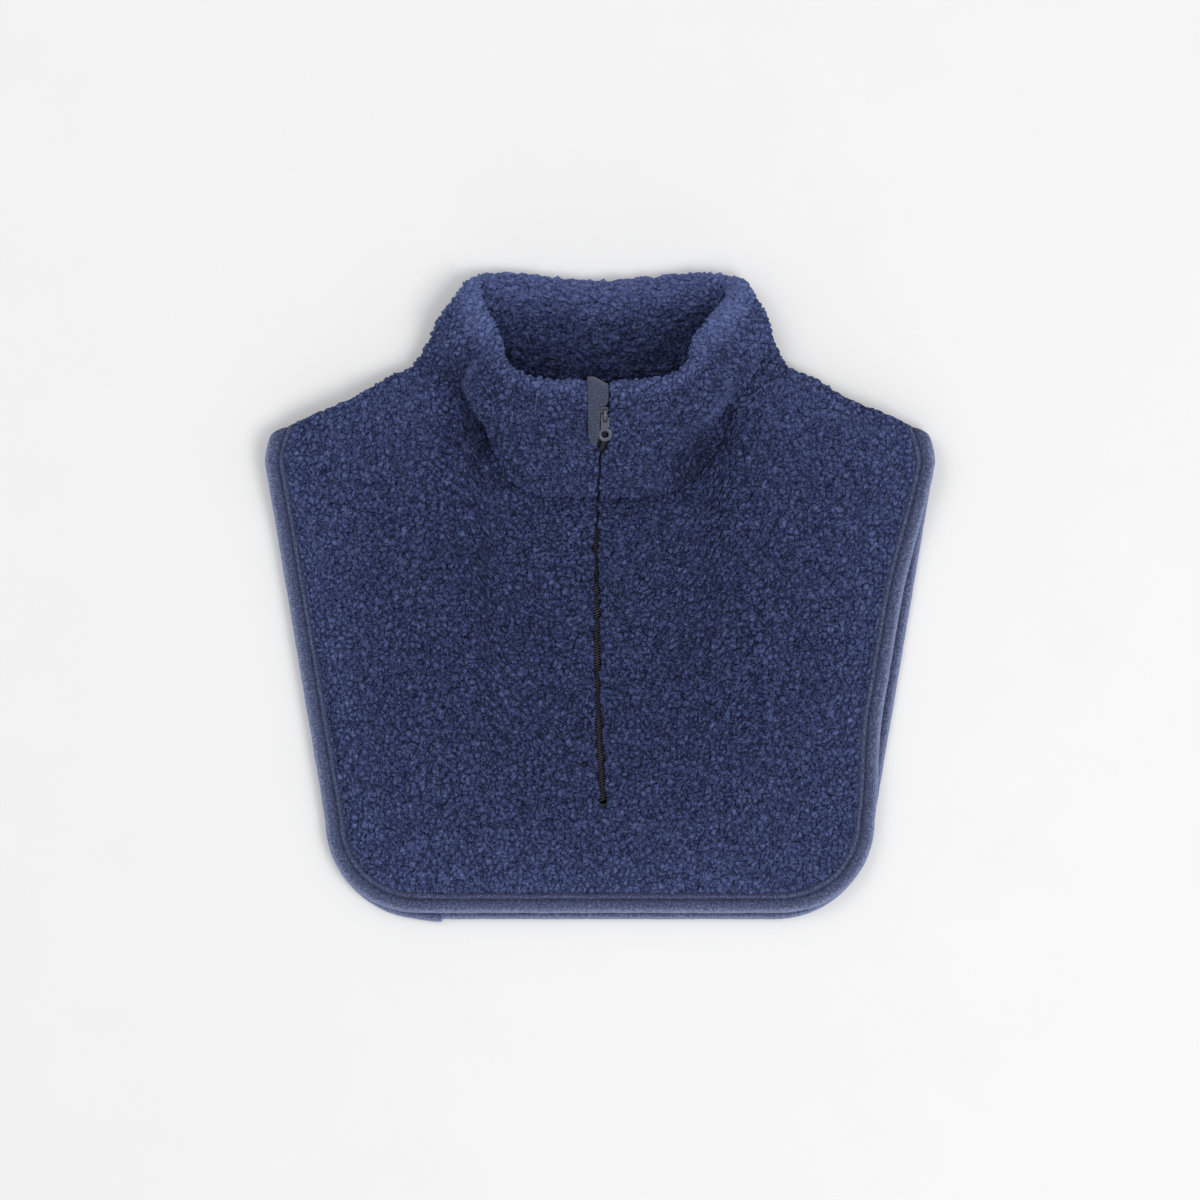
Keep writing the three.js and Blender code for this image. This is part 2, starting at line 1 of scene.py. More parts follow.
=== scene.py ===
"""Zip-neck dickey of curly pile fleece, laid flat on its back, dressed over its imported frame.

Metres, +Z up from the surface that it lies on, +Y from the hem to the collar.
Heights up the bibs are measured from the hem.
"""

import bmesh
import bpy
import numpy as np
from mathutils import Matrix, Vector


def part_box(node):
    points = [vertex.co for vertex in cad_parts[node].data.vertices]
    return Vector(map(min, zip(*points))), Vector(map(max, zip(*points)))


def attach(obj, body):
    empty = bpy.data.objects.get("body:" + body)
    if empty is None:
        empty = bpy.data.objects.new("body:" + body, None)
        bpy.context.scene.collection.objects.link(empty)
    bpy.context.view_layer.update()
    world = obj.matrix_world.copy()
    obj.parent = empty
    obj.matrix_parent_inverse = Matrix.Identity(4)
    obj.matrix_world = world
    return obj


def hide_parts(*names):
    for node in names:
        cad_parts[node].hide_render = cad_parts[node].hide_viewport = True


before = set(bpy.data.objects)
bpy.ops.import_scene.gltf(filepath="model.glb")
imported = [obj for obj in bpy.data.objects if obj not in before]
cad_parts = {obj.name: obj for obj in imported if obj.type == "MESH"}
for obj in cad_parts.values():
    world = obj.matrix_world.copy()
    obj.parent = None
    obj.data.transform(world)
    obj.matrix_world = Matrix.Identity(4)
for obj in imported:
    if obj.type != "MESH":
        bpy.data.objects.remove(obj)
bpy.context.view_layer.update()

MM = 0.001

# The bibs.
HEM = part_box("edge_binding")[0].y
BIB_WIDTH = 402 * MM
HEM_WIDTH = 330 * MM
HEM_CORNER = 60 * MM
SHOULDER_END = 289 * MM
SHOULDER_INSET = 3 * MM
SHOULDER_ROUND = 15 * MM
SHOULDER_BULGE = 6 * MM
BULGE_LEAN = 1.4
NECK_POINT = 329 * MM
NECK_HALF = 112 * MM
FRONT_NECK = 253 * MM
BACK_NECK = 309 * MM
PEEK_SIDE = 6 * MM
PEEK_HEM = 4 * MM
BIB_WALL = 5 * MM
FOLD_REACH = 8 * MM
FRONT_CROWN = 7 * MM
NECK_RISE = 9 * MM
NECK_RISE_HALF = 62 * MM
NECK_RISE_LENGTH = 120 * MM
SHOULDER_LOFT = 6 * MM
SHOULDER_LOFT_LENGTH = 70 * MM

# The binding.
BINDING_WIDTH = 13 * MM
BINDING_THICKNESS = 5 * MM
LIP_HALF = 0.6 * MM
PILE_OVERHANG = 1.3 * MM
LIP_INSET = 2.3 * MM
GROOVE_INSET = 8 * MM
STITCH_LENGTH = 3.4 * MM
STITCH_GAP = 0.9 * MM
STITCH_RISE = 0.35 * MM
STITCH_SINK = 0.15 * MM
THREAD = 0.24 * MM

# The collar.
COLLAR_HEIGHT = 78 * MM
COLLAR_WALL = 10 * MM
RIM_LIFT = 40 * MM
CREASE_SKEW = 12 * MM
SEAM_TURN = 0.3
RIGHT_FULLNESS = 10 * MM
# Where the collar's wall is thicker: a station round the neck, the half width in stations, and how much
# thicker it is there.
THICK_PLACES = [(8.7, 1.3, 0.85), (5.3, 1.3, 0.25)]

# The zip.
ZIP_BOTTOM = 67 * MM
ZIP_WANDER = 3 * MM
CHAIN_WIDTH = 4.5 * MM
CHAIN_THICKNESS = 2.2 * MM
COIL_WIRE = 0.3 * MM
COIL_PITCH = 1.6 * MM
COIL_OVERLAP = 0.35 * MM
TAPE_WIDTH = 11 * MM
TAPE_GAP = 2.4 * MM
TAPE_THICKNESS = 1 * MM
TAPE_EASE = 0.7 * MM
STOP_LENGTH = 3 * MM
SLIDER_SHARE = 0.72
SLIDER_LENGTH = 10 * MM
SLIDER_WIDTH = 7.2 * MM
SLIDER_PLATE = 1.2 * MM
BRIDGE_WIDTH = 1.6 * MM
PULLER_LENGTH = 16.5 * MM
PULLER_WIDTH = 5.2 * MM
PULLER_THICKNESS = 1.1 * MM
PULLER_PIN = 1.4 * MM
PULLER_RING = 4.3 * MM
PULLER_HOLE = 2.2 * MM
PULLER_WINDOW = 5 * MM
GARAGE_WIDTH = 11.4 * MM
GARAGE_THICKNESS = 1.2 * MM

CLEARANCE = 0.3 * MM
SEAM_GAP = 0.05 * MM
# The lowest that the bibs' and the collar's pile may reach.
BIB_FLOOR = 0.05 * MM
COLLAR_FLOOR = 0.1 * MM

# The pile: clumps of curls, each with smaller curls on it, and the depth from tip to crevice.
CLUMP = 3.4 * MM
CURL = 1.8 * MM
PILE_DEPTH = 3.0 * MM
PILE_MEAN = 0.52
CLUMP_SPREAD = 0.28
CURL_SPREAD = 0.15
STRAY = 0.55 * MM
STRAY_SIZE = 3.1 * MM
PATCH_SIZE = 14 * MM
# The domes of clumps and curls: radius in shares of their size, and the steps of their borders.
CLUMP_DOME = (1.05, -0.1, 0.42)
CURL_DOME = (1.02, -0.12, 0.45)
# Soft noise that bends the clumps: its size, how far it moves them, and its seed.
CLUMP_WARPS = [(5.2 * MM, 1.5 * MM, 3), (1.9 * MM, 0.8 * MM, 5)]
CLUMP_SEED = 11
CURL_SEED = 23
PATCH_SEED = 31
STRAY_SEED = 41
# Whole numbers that scatter a lattice cell's place into random bits.
LATTICE_FACTORS = np.array([73856093, 19349663, 83492791])
LATTICE_SHIFTS = ((16, 0x7FEB352D), (15, 0x846CA68B), (16, 1))
LOW_BITS = 0xFFFFFFFF

RIM_SHARE = COLLAR_WALL / 2 / COLLAR_HEIGHT
BODY_INSET = BINDING_WIDTH + CLEARANCE
BACK_LEVEL = max(BIB_WALL, BINDING_THICKNESS) / 2
FRONT_EDGE_LEVEL = BACK_LEVEL + max(BIB_WALL, BINDING_THICKNESS) + CLEARANCE
TOP_HALF = BIB_WIDTH / 2 - SHOULDER_INSET
HEM_STRAIGHT = HEM_WIDTH / 2 - HEM_CORNER
BODY_CORNER = HEM_CORNER - BODY_INSET
BODY_RUN = HEM_STRAIGHT + BODY_CORNER * np.pi / 2

# The neck seam and the three rings above it, at stations from the front middle round to the back middle.
# Seam: out in shares of NECK_HALF, rise in shares of the way from the neck's middle to the neck point.
SEAM = {
    "out": [0, 0.29, 0.45, 0.6, 0.75, 1, 0.71, 0],
    "rise": [0, 0.01, 0.09, 0.32, 0.75, 1, 0.42, 0],
}
NECK_POINT_STATION = 5
CREASE_STATION = 2
# Rings: out and up in shares of COLLAR_HEIGHT, lift in shares of RIM_LIFT, all measured from the seam.
RINGS = [
    {
        "skew": 1,
        "out": [0, 0.01, 0.09, -0.04, 0.02, -0.16, 0.02, 0],
        "up": [0.31, 0.32, 0.37, 0.25, 0.18, 0.17, 0.29, 0.33],
        "lift": [0.46, 0.46, 0.42, 0.02, -0.04, 0.06, 0.09, 0.08],
        "full": [0, 0, 0, 0, 0, 0.1, 0, 0],
    },
    {
        "skew": 0.4,
        "out": [0, 0.13, 0.26, 0.14, 0.06, -0.26, -0.06, 0],
        "up": [0.6, 0.62, 0.71, 0.62, 0.42, 0.36, 0.6, 0.66],
        "lift": [0.81, 0.79, 0.69, 0.24, 0.14, 0.18, 0.11, 0.08],
        "full": [0, 0, 0, 0, 0.2, 0.2, 0.4, 0],
    },
    {
        "skew": 0,
        "out": [0, 0.11, 0.08, -0.09, -0.24, -0.5, -0.11, 0],
        "up": [0.88, 0.91, 0.96, 0.9, 0.65, 0.6, 0.89, 0.96],
        "lift": [1.01, 0.99, 0.86, 0.62, 0.45, 0.34, 0.2, 0.1],
        "full": [0, 0, -0.3, -0.4, 0, 0.45, 0.35, 0],
    },
]
# The zip's way up the front: along in shares of its length in plan, drift in shares of ZIP_WANDER.
ZIP_COURSE = [(0, 0.7), (0.26, -0.4), (0.6, -0.75), (0.74, -0.4), (0.83, 0), (0.9, 0.95), (1, 1)]
ZIP_PLAN_LENGTH = FRONT_NECK + RINGS[2]["up"][0] * COLLAR_HEIGHT - ZIP_BOTTOM


def smooth(low, high, value):
    """Smooth step: 0 below low, 1 above high, three t squared less two t cubed between."""
    t = np.clip((value - low) / (high - low), 0, 1)
    return t * t * (3 - 2 * t)


def mix(a, b, t):
    """Straight mix of a and b by the share t."""
    return a + (b - a) * t


def bell(value, middle, width):
    """Bell curve: 1 at the middle, falling to 1 over e at a width to either side."""
    return np.exp(-(((value - middle) / width) ** 2))


def unit(vectors):
    """Vectors divided by their own length."""
    return vectors / np.maximum(np.linalg.norm(vectors, axis=-1, keepdims=True), 1e-12)


def stack(x, y, z):
    """Three arrays of coordinates as one array of points."""
    return np.stack(np.broadcast_arrays(x, y, z), axis=-1)


def centripetal(knots, place, closed):
    """Centripetal Catmull-Rom curve through the knots, at places from 0 to 1.

    Between two knots it is a cubic. Its end slopes weigh the neighbouring chords by the square roots
    of their lengths. An open curve carries its first and last chord on beyond the ends.
    """
    count = len(knots)
    if closed:
        along = (place % 1.0) * count
        around = np.concatenate([knots[-1:], knots, knots[:2]])
    else:
        along = np.clip(place, 0, 1) * (count - 1)
        before, after = 2 * knots[:1] - knots[1:2], 2 * knots[-1:] - knots[-2:-1]
        around = np.concatenate([before, knots, after])
    first = np.clip(np.floor(along).astype(int), 0, count - (1 if closed else 2))
    t = (along - first)[..., None]
    if knots.ndim == 2:
        p = [around[first + k] for k in range(4)]
    else:
        p = [np.take_along_axis(around, (first + k)[None, ..., None], 0)[0] for k in range(4)]
    gap = [np.linalg.norm(p[k + 1] - p[k], axis=-1, keepdims=True) ** 0.5 for k in range(3)]
    gap = [np.maximum(g, 1e-6) for g in gap]
    chord = [p[k + 1] - p[k] for k in range(3)]
    slope_in = chord[0] / gap[0] - (p[2] - p[0]) / (gap[0] + gap[1]) + chord[1] / gap[1]
    slope_out = chord[1] / gap[1] - (p[3] - p[1]) / (gap[1] + gap[2]) + chord[2] / gap[2]
    a, b = slope_in * gap[1], slope_out * gap[1]
    cubic = 2 * p[1] - 2 * p[2] + a + b
    square = -3 * p[1] + 3 * p[2] - 2 * a - b
    return ((cubic * t + square) * t + a) * t + p[1]


def shoulder_height(x):
    """Shoulder line: straight from neck point to shoulder end, with a leaning half sine on top."""
    t = (np.abs(x) - NECK_HALF) / (TOP_HALF - NECK_HALF)
    bulge = SHOULDER_BULGE * np.sin(np.pi * np.clip(t, 0, 1) ** BULGE_LEAN)
    return mix(NECK_POINT, SHOULDER_END, t) + bulge


def side_half(y, layer, side):
    """Half width of a bib: grows evenly from hem to shoulder and rounds in at the shoulder's end.

    The front is narrower on its right side by a smooth bump, so that the back's binding peeks out.
    """
    climb = (y - HEM_CORNER) / (SHOULDER_END - SHOULDER_ROUND - HEM_CORNER)
    past = np.maximum(0, y - (SHOULDER_END - SHOULDER_ROUND)) / SHOULDER_ROUND
    peek = np.where(side > 0, PEEK_SIDE, 0) * smooth(0, 0.3, climb) * (1 - smooth(0.6, 1, climb))
    half = mix(HEM_WIDTH, BIB_WIDTH, np.minimum(climb, 1)) / 2 - SHOULDER_INSET * past * past
    return half - (peek if layer == "front" else 0)


def front_level(x, y):
    """Level of the front bib: a parabola across, a bell under the neck and a rise to the shoulder."""
    across = np.minimum(1, np.abs(x) / side_half(np.minimum(y, SHOULDER_END), "back", 1))
    crown = FRONT_CROWN * (1 - across**2) * smooth(0, HEM_CORNER, y)
    near_neck = smooth(FRONT_NECK - NECK_RISE_LENGTH, FRONT_NECK, y)
    bell = NECK_RISE * np.exp(-((x / NECK_RISE_HALF) ** 2)) * near_neck
    loft = SHOULDER_LOFT * smooth(SHOULDER_END - SHOULDER_LOFT_LENGTH, SHOULDER_END, y)
    return FRONT_EDGE_LEVEL + crown + bell + loft * across**2


def bib_surface(x, y, layer):
    """Middle of a bib's cloth at plan place x, y: its point and its outward normal.

    Away from the shoulder it lies at its level. Near it, front and back close to each other on an
    ellipse that is FOLD_REACH long, and the normal turns with it from up or down to outward.
    """
    upper = front_level(x, y)
    rise, middle = (upper - BACK_LEVEL) / 2, (upper + BACK_LEVEL) / 2
    near = np.clip((FOLD_REACH - (shoulder_height(x) - y)) / FOLD_REACH, 0, 1)
    sine = np.sqrt(1 - near**2)
    sign = 1 if layer == "front" else -1
    point = stack(x, y + HEM, middle + sign * np.maximum(rise * sine, CLEARANCE / 2))
    outward = unit(stack(np.sign(x) * (NECK_POINT - SHOULDER_END), TOP_HALF - NECK_HALF, 0 * x))
    normal = outward * (near / FOLD_REACH)[..., None]
    normal[..., 2] = sign * sine / rise
    return point, unit(normal)


def seam_knots():
    """Plan places of the neck seam's stations: left side from the front to the back, then right side."""
    rows = []
    for side, order in ((-1, range(8)), (1, range(6, 0, -1))):
        for k in order:
            low = FRONT_NECK if k < NECK_POINT_STATION else BACK_NECK
            height = mix(low, NECK_POINT, SEAM["rise"][k])
            rows.append((side, k, side * SEAM["out"][k] * NECK_HALF, height))
    return rows


def ring_knots(ring):
    """A ring's stations: the seam's place on the bib, moved out, up and aloft by the ring's shares."""
    knots = []
    for side, k, x, y in seam_knots():
        layer = "front" if k <= NECK_POINT_STATION else "back"
        base = bib_surface(np.array(x), np.array(y), layer)[0]
        skew = CREASE_SKEW * ring["skew"] if k == CREASE_STATION and side > 0 else 0
        full = RIGHT_FULLNESS * ring["full"][k] if side > 0 else 0
        move = (side * (ring["out"][k] * COLLAR_HEIGHT - skew + full), ring["up"][k] * COLLAR_HEIGHT,
                ring["lift"][k] * RIM_LIFT)
        knots.append(base + np.array(move))
    return np.array(knots)


SEAM_PLAN = np.array([(x, y, 0) for side, k, x, y in seam_knots()])
RING_KNOTS = [ring_knots(ring) for ring in RINGS]
NECK_POINT_SHARE = NECK_POINT_STATION / len(SEAM_PLAN)
SEAM_STEPS = 1400
SEAM_LINE = centripetal(SEAM_PLAN, np.linspace(0, 1, SEAM_STEPS + 1), True)


def seam_surface(share):
    """The seam on the bibs, by its share round the neck: point and normal of the bib that it is on."""
    plan = centripetal(SEAM_PLAN, share, True)
    on_front = (share % 1 <= NECK_POINT_SHARE) | (share % 1 >= 1 - NECK_POINT_SHARE)
    front = bib_surface(plan[..., 0], plan[..., 1], "front")
    back = bib_surface(plan[..., 0], plan[..., 1], "back")
    return [np.where(on_front[..., None], f, b) for f, b in zip(front, back)]


def collar_surface(share, height):
    """Middle of the collar's cloth: point, way up and outward normal.

    Four curves run round the neck, the seam and three rings. A centripetal curve up through them
    gives the point. The normal is way up crossed with way round, turned to the bib's near the seam.
    """
    def line(places):
        start, normal = seam_surface(places)
        step = 0.004
        along = seam_surface(places + step)[0] - seam_surface(places - step)[0]
        start = start + unit(np.cross(along, normal)) * SEAM_GAP
        return np.stack([start] + [centripetal(knots, places, True) for knots in RING_KNOTS]), normal

    knots, seam_normal = line(share)
    point = centripetal(knots, height, False)
    small, wide = 0.004, 1 / 42
    low, high = np.clip(height - small, 0, 1), np.clip(height + small, 0, 1)
    up = unit(centripetal(knots, high, False) - centripetal(knots, low, False))
    around = centripetal(line(share + wide / 2)[0], height, False)
    around = around - centripetal(line(share - wide / 2)[0], height, False)
    turned = smooth(0, SEAM_TURN, height)[..., None]
    normal = unit(seam_normal * (1 - turned) + unit(np.cross(up, around)) * turned)
    return point, up, normal


def zip_drift(y):
    """How far the zip wanders sideways at a height: a curve through the rows of ZIP_COURSE."""
    knots = np.array([(along, drift, 0) for along, drift in ZIP_COURSE])
    places = centripetal(knots, np.linspace(0, 1, 61), False)
    return ZIP_WANDER * np.interp((y - ZIP_BOTTOM) / ZIP_PLAN_LENGTH, places[:, 0], places[:, 1])


def lattice_values(cells, seed):
    """Three random numbers from 0 to 1 for each lattice cell, from the cell's whole numbers alone."""
    own = np.bitwise_xor.reduce(cells * LATTICE_FACTORS, axis=-1)
    values = []
    for turn in (1, 2, 3):
        bits = (own + seed * 977 + turn * 7919) & LOW_BITS
        for shift, factor in LATTICE_SHIFTS:
            bits = ((bits ^ (bits >> shift)) * factor) & LOW_BITS
        values.append(bits / LOW_BITS)
    return np.stack(values, axis=-1)


def soft_noise(points, size, seed):
    """Smooth random vectors: the lattice's random numbers, mixed by smooth steps between its cells."""
    at = points / size
    cell = np.floor(at).astype(np.int64)
    t = smooth(0, 1, at - cell)
    total = np.zeros(points.shape)
    for corner in np.ndindex(2, 2, 2):
        step = np.array(corner)
        weight = np.prod(np.where(step == 1, t, 1 - t), axis=-1, keepdims=True)
        total += weight * lattice_values(cell + step, seed)
    return 2 * total - 1


def clumps(points, size, seed):
    """Scattered seeds, one in each lattice cell: the distance to the nearest one, how much further
    the next one is, the way from the nearest, and a random number of its own."""
    at = points / size
    cell = np.floor(at).astype(np.int64)
    nearest = np.full(points.shape[:-1], 9.0)
    second, own = nearest.copy(), nearest.copy()
    way = np.zeros(points.shape)
    for step in np.ndindex(3, 3, 3):
        other = cell + np.array(step) - 1
        seeds = lattice_values(other, seed)
        offset = at - (other + seeds)
        distance = np.linalg.norm(offset, axis=-1)
        closer = distance < nearest
        second = np.where(closer, nearest, np.minimum(second, distance))
        nearest = np.where(closer, distance, nearest)
        own = np.where(closer, (seeds[..., 0] * 7.31) % 1, own)
        way = np.where(closer[..., None], offset, way)
    return nearest, second - nearest, way * size, own


def dome(far, border, radius, low, high):
    """A dome round a seed: the square root of one less the distance squared, cut down by a smooth step
    towards the border with the next one."""
    return np.sqrt(np.clip(1 - (far / radius) ** 2, 0, 1)) * smooth(low, high, border)


def add_pile(points, normals, strength):
    """Points raised into curly pile, and the pile's height at each from 0, crevice, to 1, tip.

    Each clump is a dome of its own height, and smaller curls ride on it, more where it is high. The
    domes spread sideways over the crevices, and soft noise strays them.
    """
    warped = points
    for size, reach, seed in CLUMP_WARPS:
        warped = warped + soft_noise(points, size, seed) * reach
    far, border, clump_way, clump_own = clumps(warped, CLUMP, CLUMP_SEED)
    clump = dome(far, border, *CLUMP_DOME)
    far, border, curl_way, curl_own = clumps(warped, CURL, CURL_SEED)
    curl = dome(far, border, *CURL_DOME)
    patch = soft_noise(points, PATCH_SIZE, PATCH_SEED)[..., 0]
    height = clump * (0.52 + 0.34 * clump_own + 0.08 * patch) + curl * (0.08 + clump * (0.2 + 0.16 * curl_own))
    height = np.clip(height, 0, 1)
    side = clump_way * (CLUMP_SPREAD * np.sin(np.pi * clump))[..., None] + curl_way * CURL_SPREAD
    side = side + soft_noise(points, STRAY_SIZE, STRAY_SEED) * STRAY
    side = side - normals * np.sum(side * normals, axis=-1, keepdims=True)
    lift = normals * ((height - PILE_MEAN) * PILE_DEPTH)[..., None]
    return points + (lift + side) * np.asarray(strength)[..., None], height


class Cloth:
    """Gathers patches of points and the faces between them, and welds them where their borders meet."""

    def __init__(self):
        self.points, self.values, self.blooms, self.faces, self.count = [], [], [], [], 0

    def add(self, points, pile, bloom=0):
        """Adds a grid of points with its pile height and painted light, and gives the grid of their numbers.
        """
        numbers = np.arange(self.count, self.count + points[..., 0].size).reshape(points.shape[:-1])
        self.points.append(points.reshape(-1, 3))
        self.values.append(np.broadcast_to(pile, numbers.shape).reshape(-1))
        self.blooms.append(np.broadcast_to(bloom, numbers.shape).reshape(-1))
        self.count += numbers.size
        return numbers

    def patch(self, points, pile=0.5, bloom=0):
        """A face between each four neighbours of a grid, or of each of a row of grids."""
        n = self.add(points, pile, bloom)
        quads = [n[..., :-1, :-1], n[..., :-1, 1:], n[..., 1:, 1:], n[..., 1:, :-1]]
        self.faces.append(np.stack(quads, axis=-1).reshape(-1, 4))

    def stitch(self, border, step):
        """A row of triangles between a fine border and a coarse one with each step-th of its points."""
        fine, coarse = self.add(border, 0.5), self.add(border[::step], 0.5)
        left, right, half = coarse[:-1], coarse[1:], step // 2
        for k in range(step):
            corner = left if k < half else right
            a, b = fine[k:-1:step], fine[k + 1 :: step][: len(left)]
            self.faces.append(np.stack([corner, a, b, b], axis=-1))
        middle = fine[half:-1:step][: len(left)]
        self.faces.append(np.stack([left, middle, right, right], axis=-1))

    def tube(self, grid, path, pile=0.5):
        """A tube's rings, each end closed by a fan to the path's own end."""
        self.patch(grid, pile)
        for end in (0, -1):
            self.patch(np.stack([grid[end], np.broadcast_to(path[end], grid[end].shape)]))

    def build(self, name):
        """The welded mesh as an object. Faces that lost a corner in the weld become triangles."""
        points = np.concatenate(self.points)
        keys = np.round(points * 1e7).astype(np.int64)
        code = (keys[:, 0] + 2**24) * 2**50 + (keys[:, 1] + 2**24) * 2**25 + keys[:, 2] + 2**24
        first, place = np.unique(code, return_index=True, return_inverse=True)[1:]
        faces = place.reshape(-1)[np.concatenate(self.faces)]
        same = faces == np.roll(faces, 1, axis=1)
        quads, triangles = faces[same.sum(1) == 0], faces[same.sum(1) == 1]
        triangles = triangles[~same[same.sum(1) == 1]].reshape(-1, 3)
        loops = np.concatenate([quads.reshape(-1), triangles.reshape(-1)]).astype(np.int32)
        sizes = np.concatenate([np.full(len(quads), 4), np.full(len(triangles), 3)])
        mesh = bpy.data.meshes.new(name)
        mesh.vertices.add(len(first))
        mesh.vertices.foreach_set("co", points[first].astype(np.float32).reshape(-1))
        mesh.loops.add(len(loops))
        mesh.loops.foreach_set("vertex_index", loops)
        mesh.polygons.add(len(sizes))
        starts = np.concatenate([[0], np.cumsum(sizes)[:-1]])
        mesh.polygons.foreach_set("loop_start", starts.astype(np.int32))
        mesh.update(calc_edges=True)
        # The bloom attribute holds painted highlight above 0 and painted shade below 0 for the finishes.
        for label, values in (("pile", self.values), ("bloom", self.blooms)):
            kept = mesh.attributes.new(label, "FLOAT", "POINT")
            kept.data.foreach_set("value", np.concatenate(values)[first].astype(np.float32))
        face_outwards(mesh)
        piece = bpy.data.objects.new(name, mesh)
        bpy.context.scene.collection.objects.link(piece)
        return piece


def face_outwards(mesh):
    """Turns all faces of a closed mesh outwards and shades them smooth."""
    work = bmesh.new()
    work.from_mesh(mesh)
    bmesh.ops.recalc_face_normals(work, faces=work.faces)
    work.to_mesh(mesh)
    work.free()
    mesh.shade_smooth()


# How far the pile's edges stand open over the zip, up the bib and up the collar.
# Rows: share of the way up the slit, and half the gap in mm. On the collar, share of its height, then
# half the gap at the left and at the right.
BIB_GAP = [(0.0, 0.4), (0.014, 1.3), (0.03, 2.1), (0.3, 2.1), (0.65, 1.7), (0.93, 1.1), (1.0, 0.6)]
COLLAR_GAP = [(0, 0.5, 0.5), (0.41, 0.5, 0.5), (0.48, 4.4, 1.8), (0.9, 4.4, 1.8), (1, 3.4, 3.0)]
# Soft noise on the slit's edges: its size, how far it moves them, and its seed.
SLIT_WOBBLES = [(3.6 * MM, 0.8 * MM, 61), (1.5 * MM, 0.6 * MM, 67)]
SLIT_HALF = CHAIN_WIDTH / 2 + CLEARANCE
SLIT_UNDER = 0.9 * MM
POCKET_HALF = PULLER_RING + CLEARANCE
POCKET_UNDER = 2.7 * MM
# A bib's plain inner face has one point to each COARSE points of its pile face, both ways.
COARSE = 4
# How far in from the sides, the hem and the shoulder the painted highlight on the pile reaches.
EDGE_HIGHLIGHT_REACH = (28 * MM, 45 * MM, 55 * MM)
# Where the front is shaded beside the collar's foot: place across and up in mm, and how much.
SHADE_PLACES = [(-78, 292, 0.7), (-60, 270, 0.3), (62, 285, 0.7), (38, 262, 0.4)]
SHADE_SIZE = (17 * MM, 16 * MM)
SEAM_SHADE = 0.4
SEAM_SHADE_WIDTH = 3 * MM
# The seam's points that lie on the left half of the front, and on the left half of the back.
NECK_POINT_STEP = round(SEAM_STEPS * NECK_POINT_SHARE)
FRONT_SEAM = SEAM_LINE[: NECK_POINT_STEP + 1]
BACK_SEAM = SEAM_LINE[NECK_POINT_STEP : SEAM_STEPS // 2 + 1][::-1]


def bib_place(run, row, inset, layer, slit=None):
    """Plan place on a bib. run goes across along the hem, row from 0 at the hem to 1 below the
    shoulder and on to 2 at its crest, inset from the bib's edge.

    The hem is straight, then a quarter circle. The place moves in a straight line from there to the
    neck seam or the shoulder, and bends with the side near the edge.
    """
    side, far = np.sign(run), np.abs(run)
    turn = np.clip((far - HEM_STRAIGHT) / BODY_CORNER, 0, np.pi / 2)
    radius = HEM_CORNER - inset
    hem_x = np.minimum(far, HEM_STRAIGHT) + radius * np.sin(turn)
    low = HEM_CORNER - radius * np.cos(turn)
    if layer == "front":
        low = low + PEEK_HEM * (1 - smooth(0, HEM_CORNER, radius * np.sin(turn)))
    body_half = HEM_WIDTH / 2 - BODY_INSET
    across = (np.minimum(far, HEM_STRAIGHT) + BODY_CORNER * np.sin(turn)) / body_half
    near = smooth(0.6, 1, across)
    top_x = side * (across * TOP_HALF - inset * near)

    def shift(height):
        """How far the slit moves a place sideways, less and less towards the bib's side."""
        return slit(height) * (1 - smooth(0, 0.3, across)) if slit else 0

    moved_x = top_x + shift(np.array([FRONT_NECK]))
    neck = FRONT_SEAM if layer == "front" else BACK_SEAM
    seam_y = np.interp(np.abs(moved_x), -neck[:, 0], neck[:, 1])
    top = np.where(np.abs(moved_x) < NECK_HALF, seam_y, shoulder_height(moved_x))
    fold = FOLD_REACH * (1 - np.cos(np.clip(2 - row, 0, 1) * np.pi / 2))
    y = np.where(row <= 1, mix(low, top - FOLD_REACH, np.minimum(row, 1)), top - fold)
    share = (y - low) / (top - low)
    bend = side_half(np.maximum(y, HEM_CORNER), layer, side) - mix(HEM_WIDTH / 2, TOP_HALF, share)
    return mix(side * hem_x, top_x, share) + side * near * bend + shift(y), y


def bib_slit(side):
    """The slit's edge on one side of the zip, by height: the zip's drift and half the gap."""
    rows = np.array(BIB_GAP)

    def edge(y):
        along = (y - ZIP_BOTTOM) / (FRONT_NECK - ZIP_BOTTOM)
        place = stack(side * MM, y, 0 * y)
        wobble = sum(soft_noise(place, size, seed)[..., 0] * reach for size, reach, seed in SLIT_WOBBLES)
        gap = (np.interp(along, rows[:, 0], rows[:, 1] * MM) + wobble) * smooth(-0.001, 0.008, along)
        fade = smooth(-0.3, 0, along)
        return (zip_drift(y) + side * gap) * fade

    return edge


def bib_rows(layer, count):
    """Rows up a bib: lip, lip at the binding's inner edge, then evenly to the crest.

    On the front one row falls on the zip's lower end.
    """
    rows, under = np.linspace(0, 1, count), None
    if layer == "front":
        low = BODY_INSET + PEEK_HEM
        split = (ZIP_BOTTOM - low) / (FRONT_NECK - FOLD_REACH - low)
        under = COARSE * round(count * split / COARSE)
        above = np.linspace(split, 1, count - under + 1)[1:]
        rows = np.concatenate([np.linspace(0, split, under - 1), above])
    return np.concatenate([[0, 0], rows, np.linspace(1, 2, 13)[1:]]), under


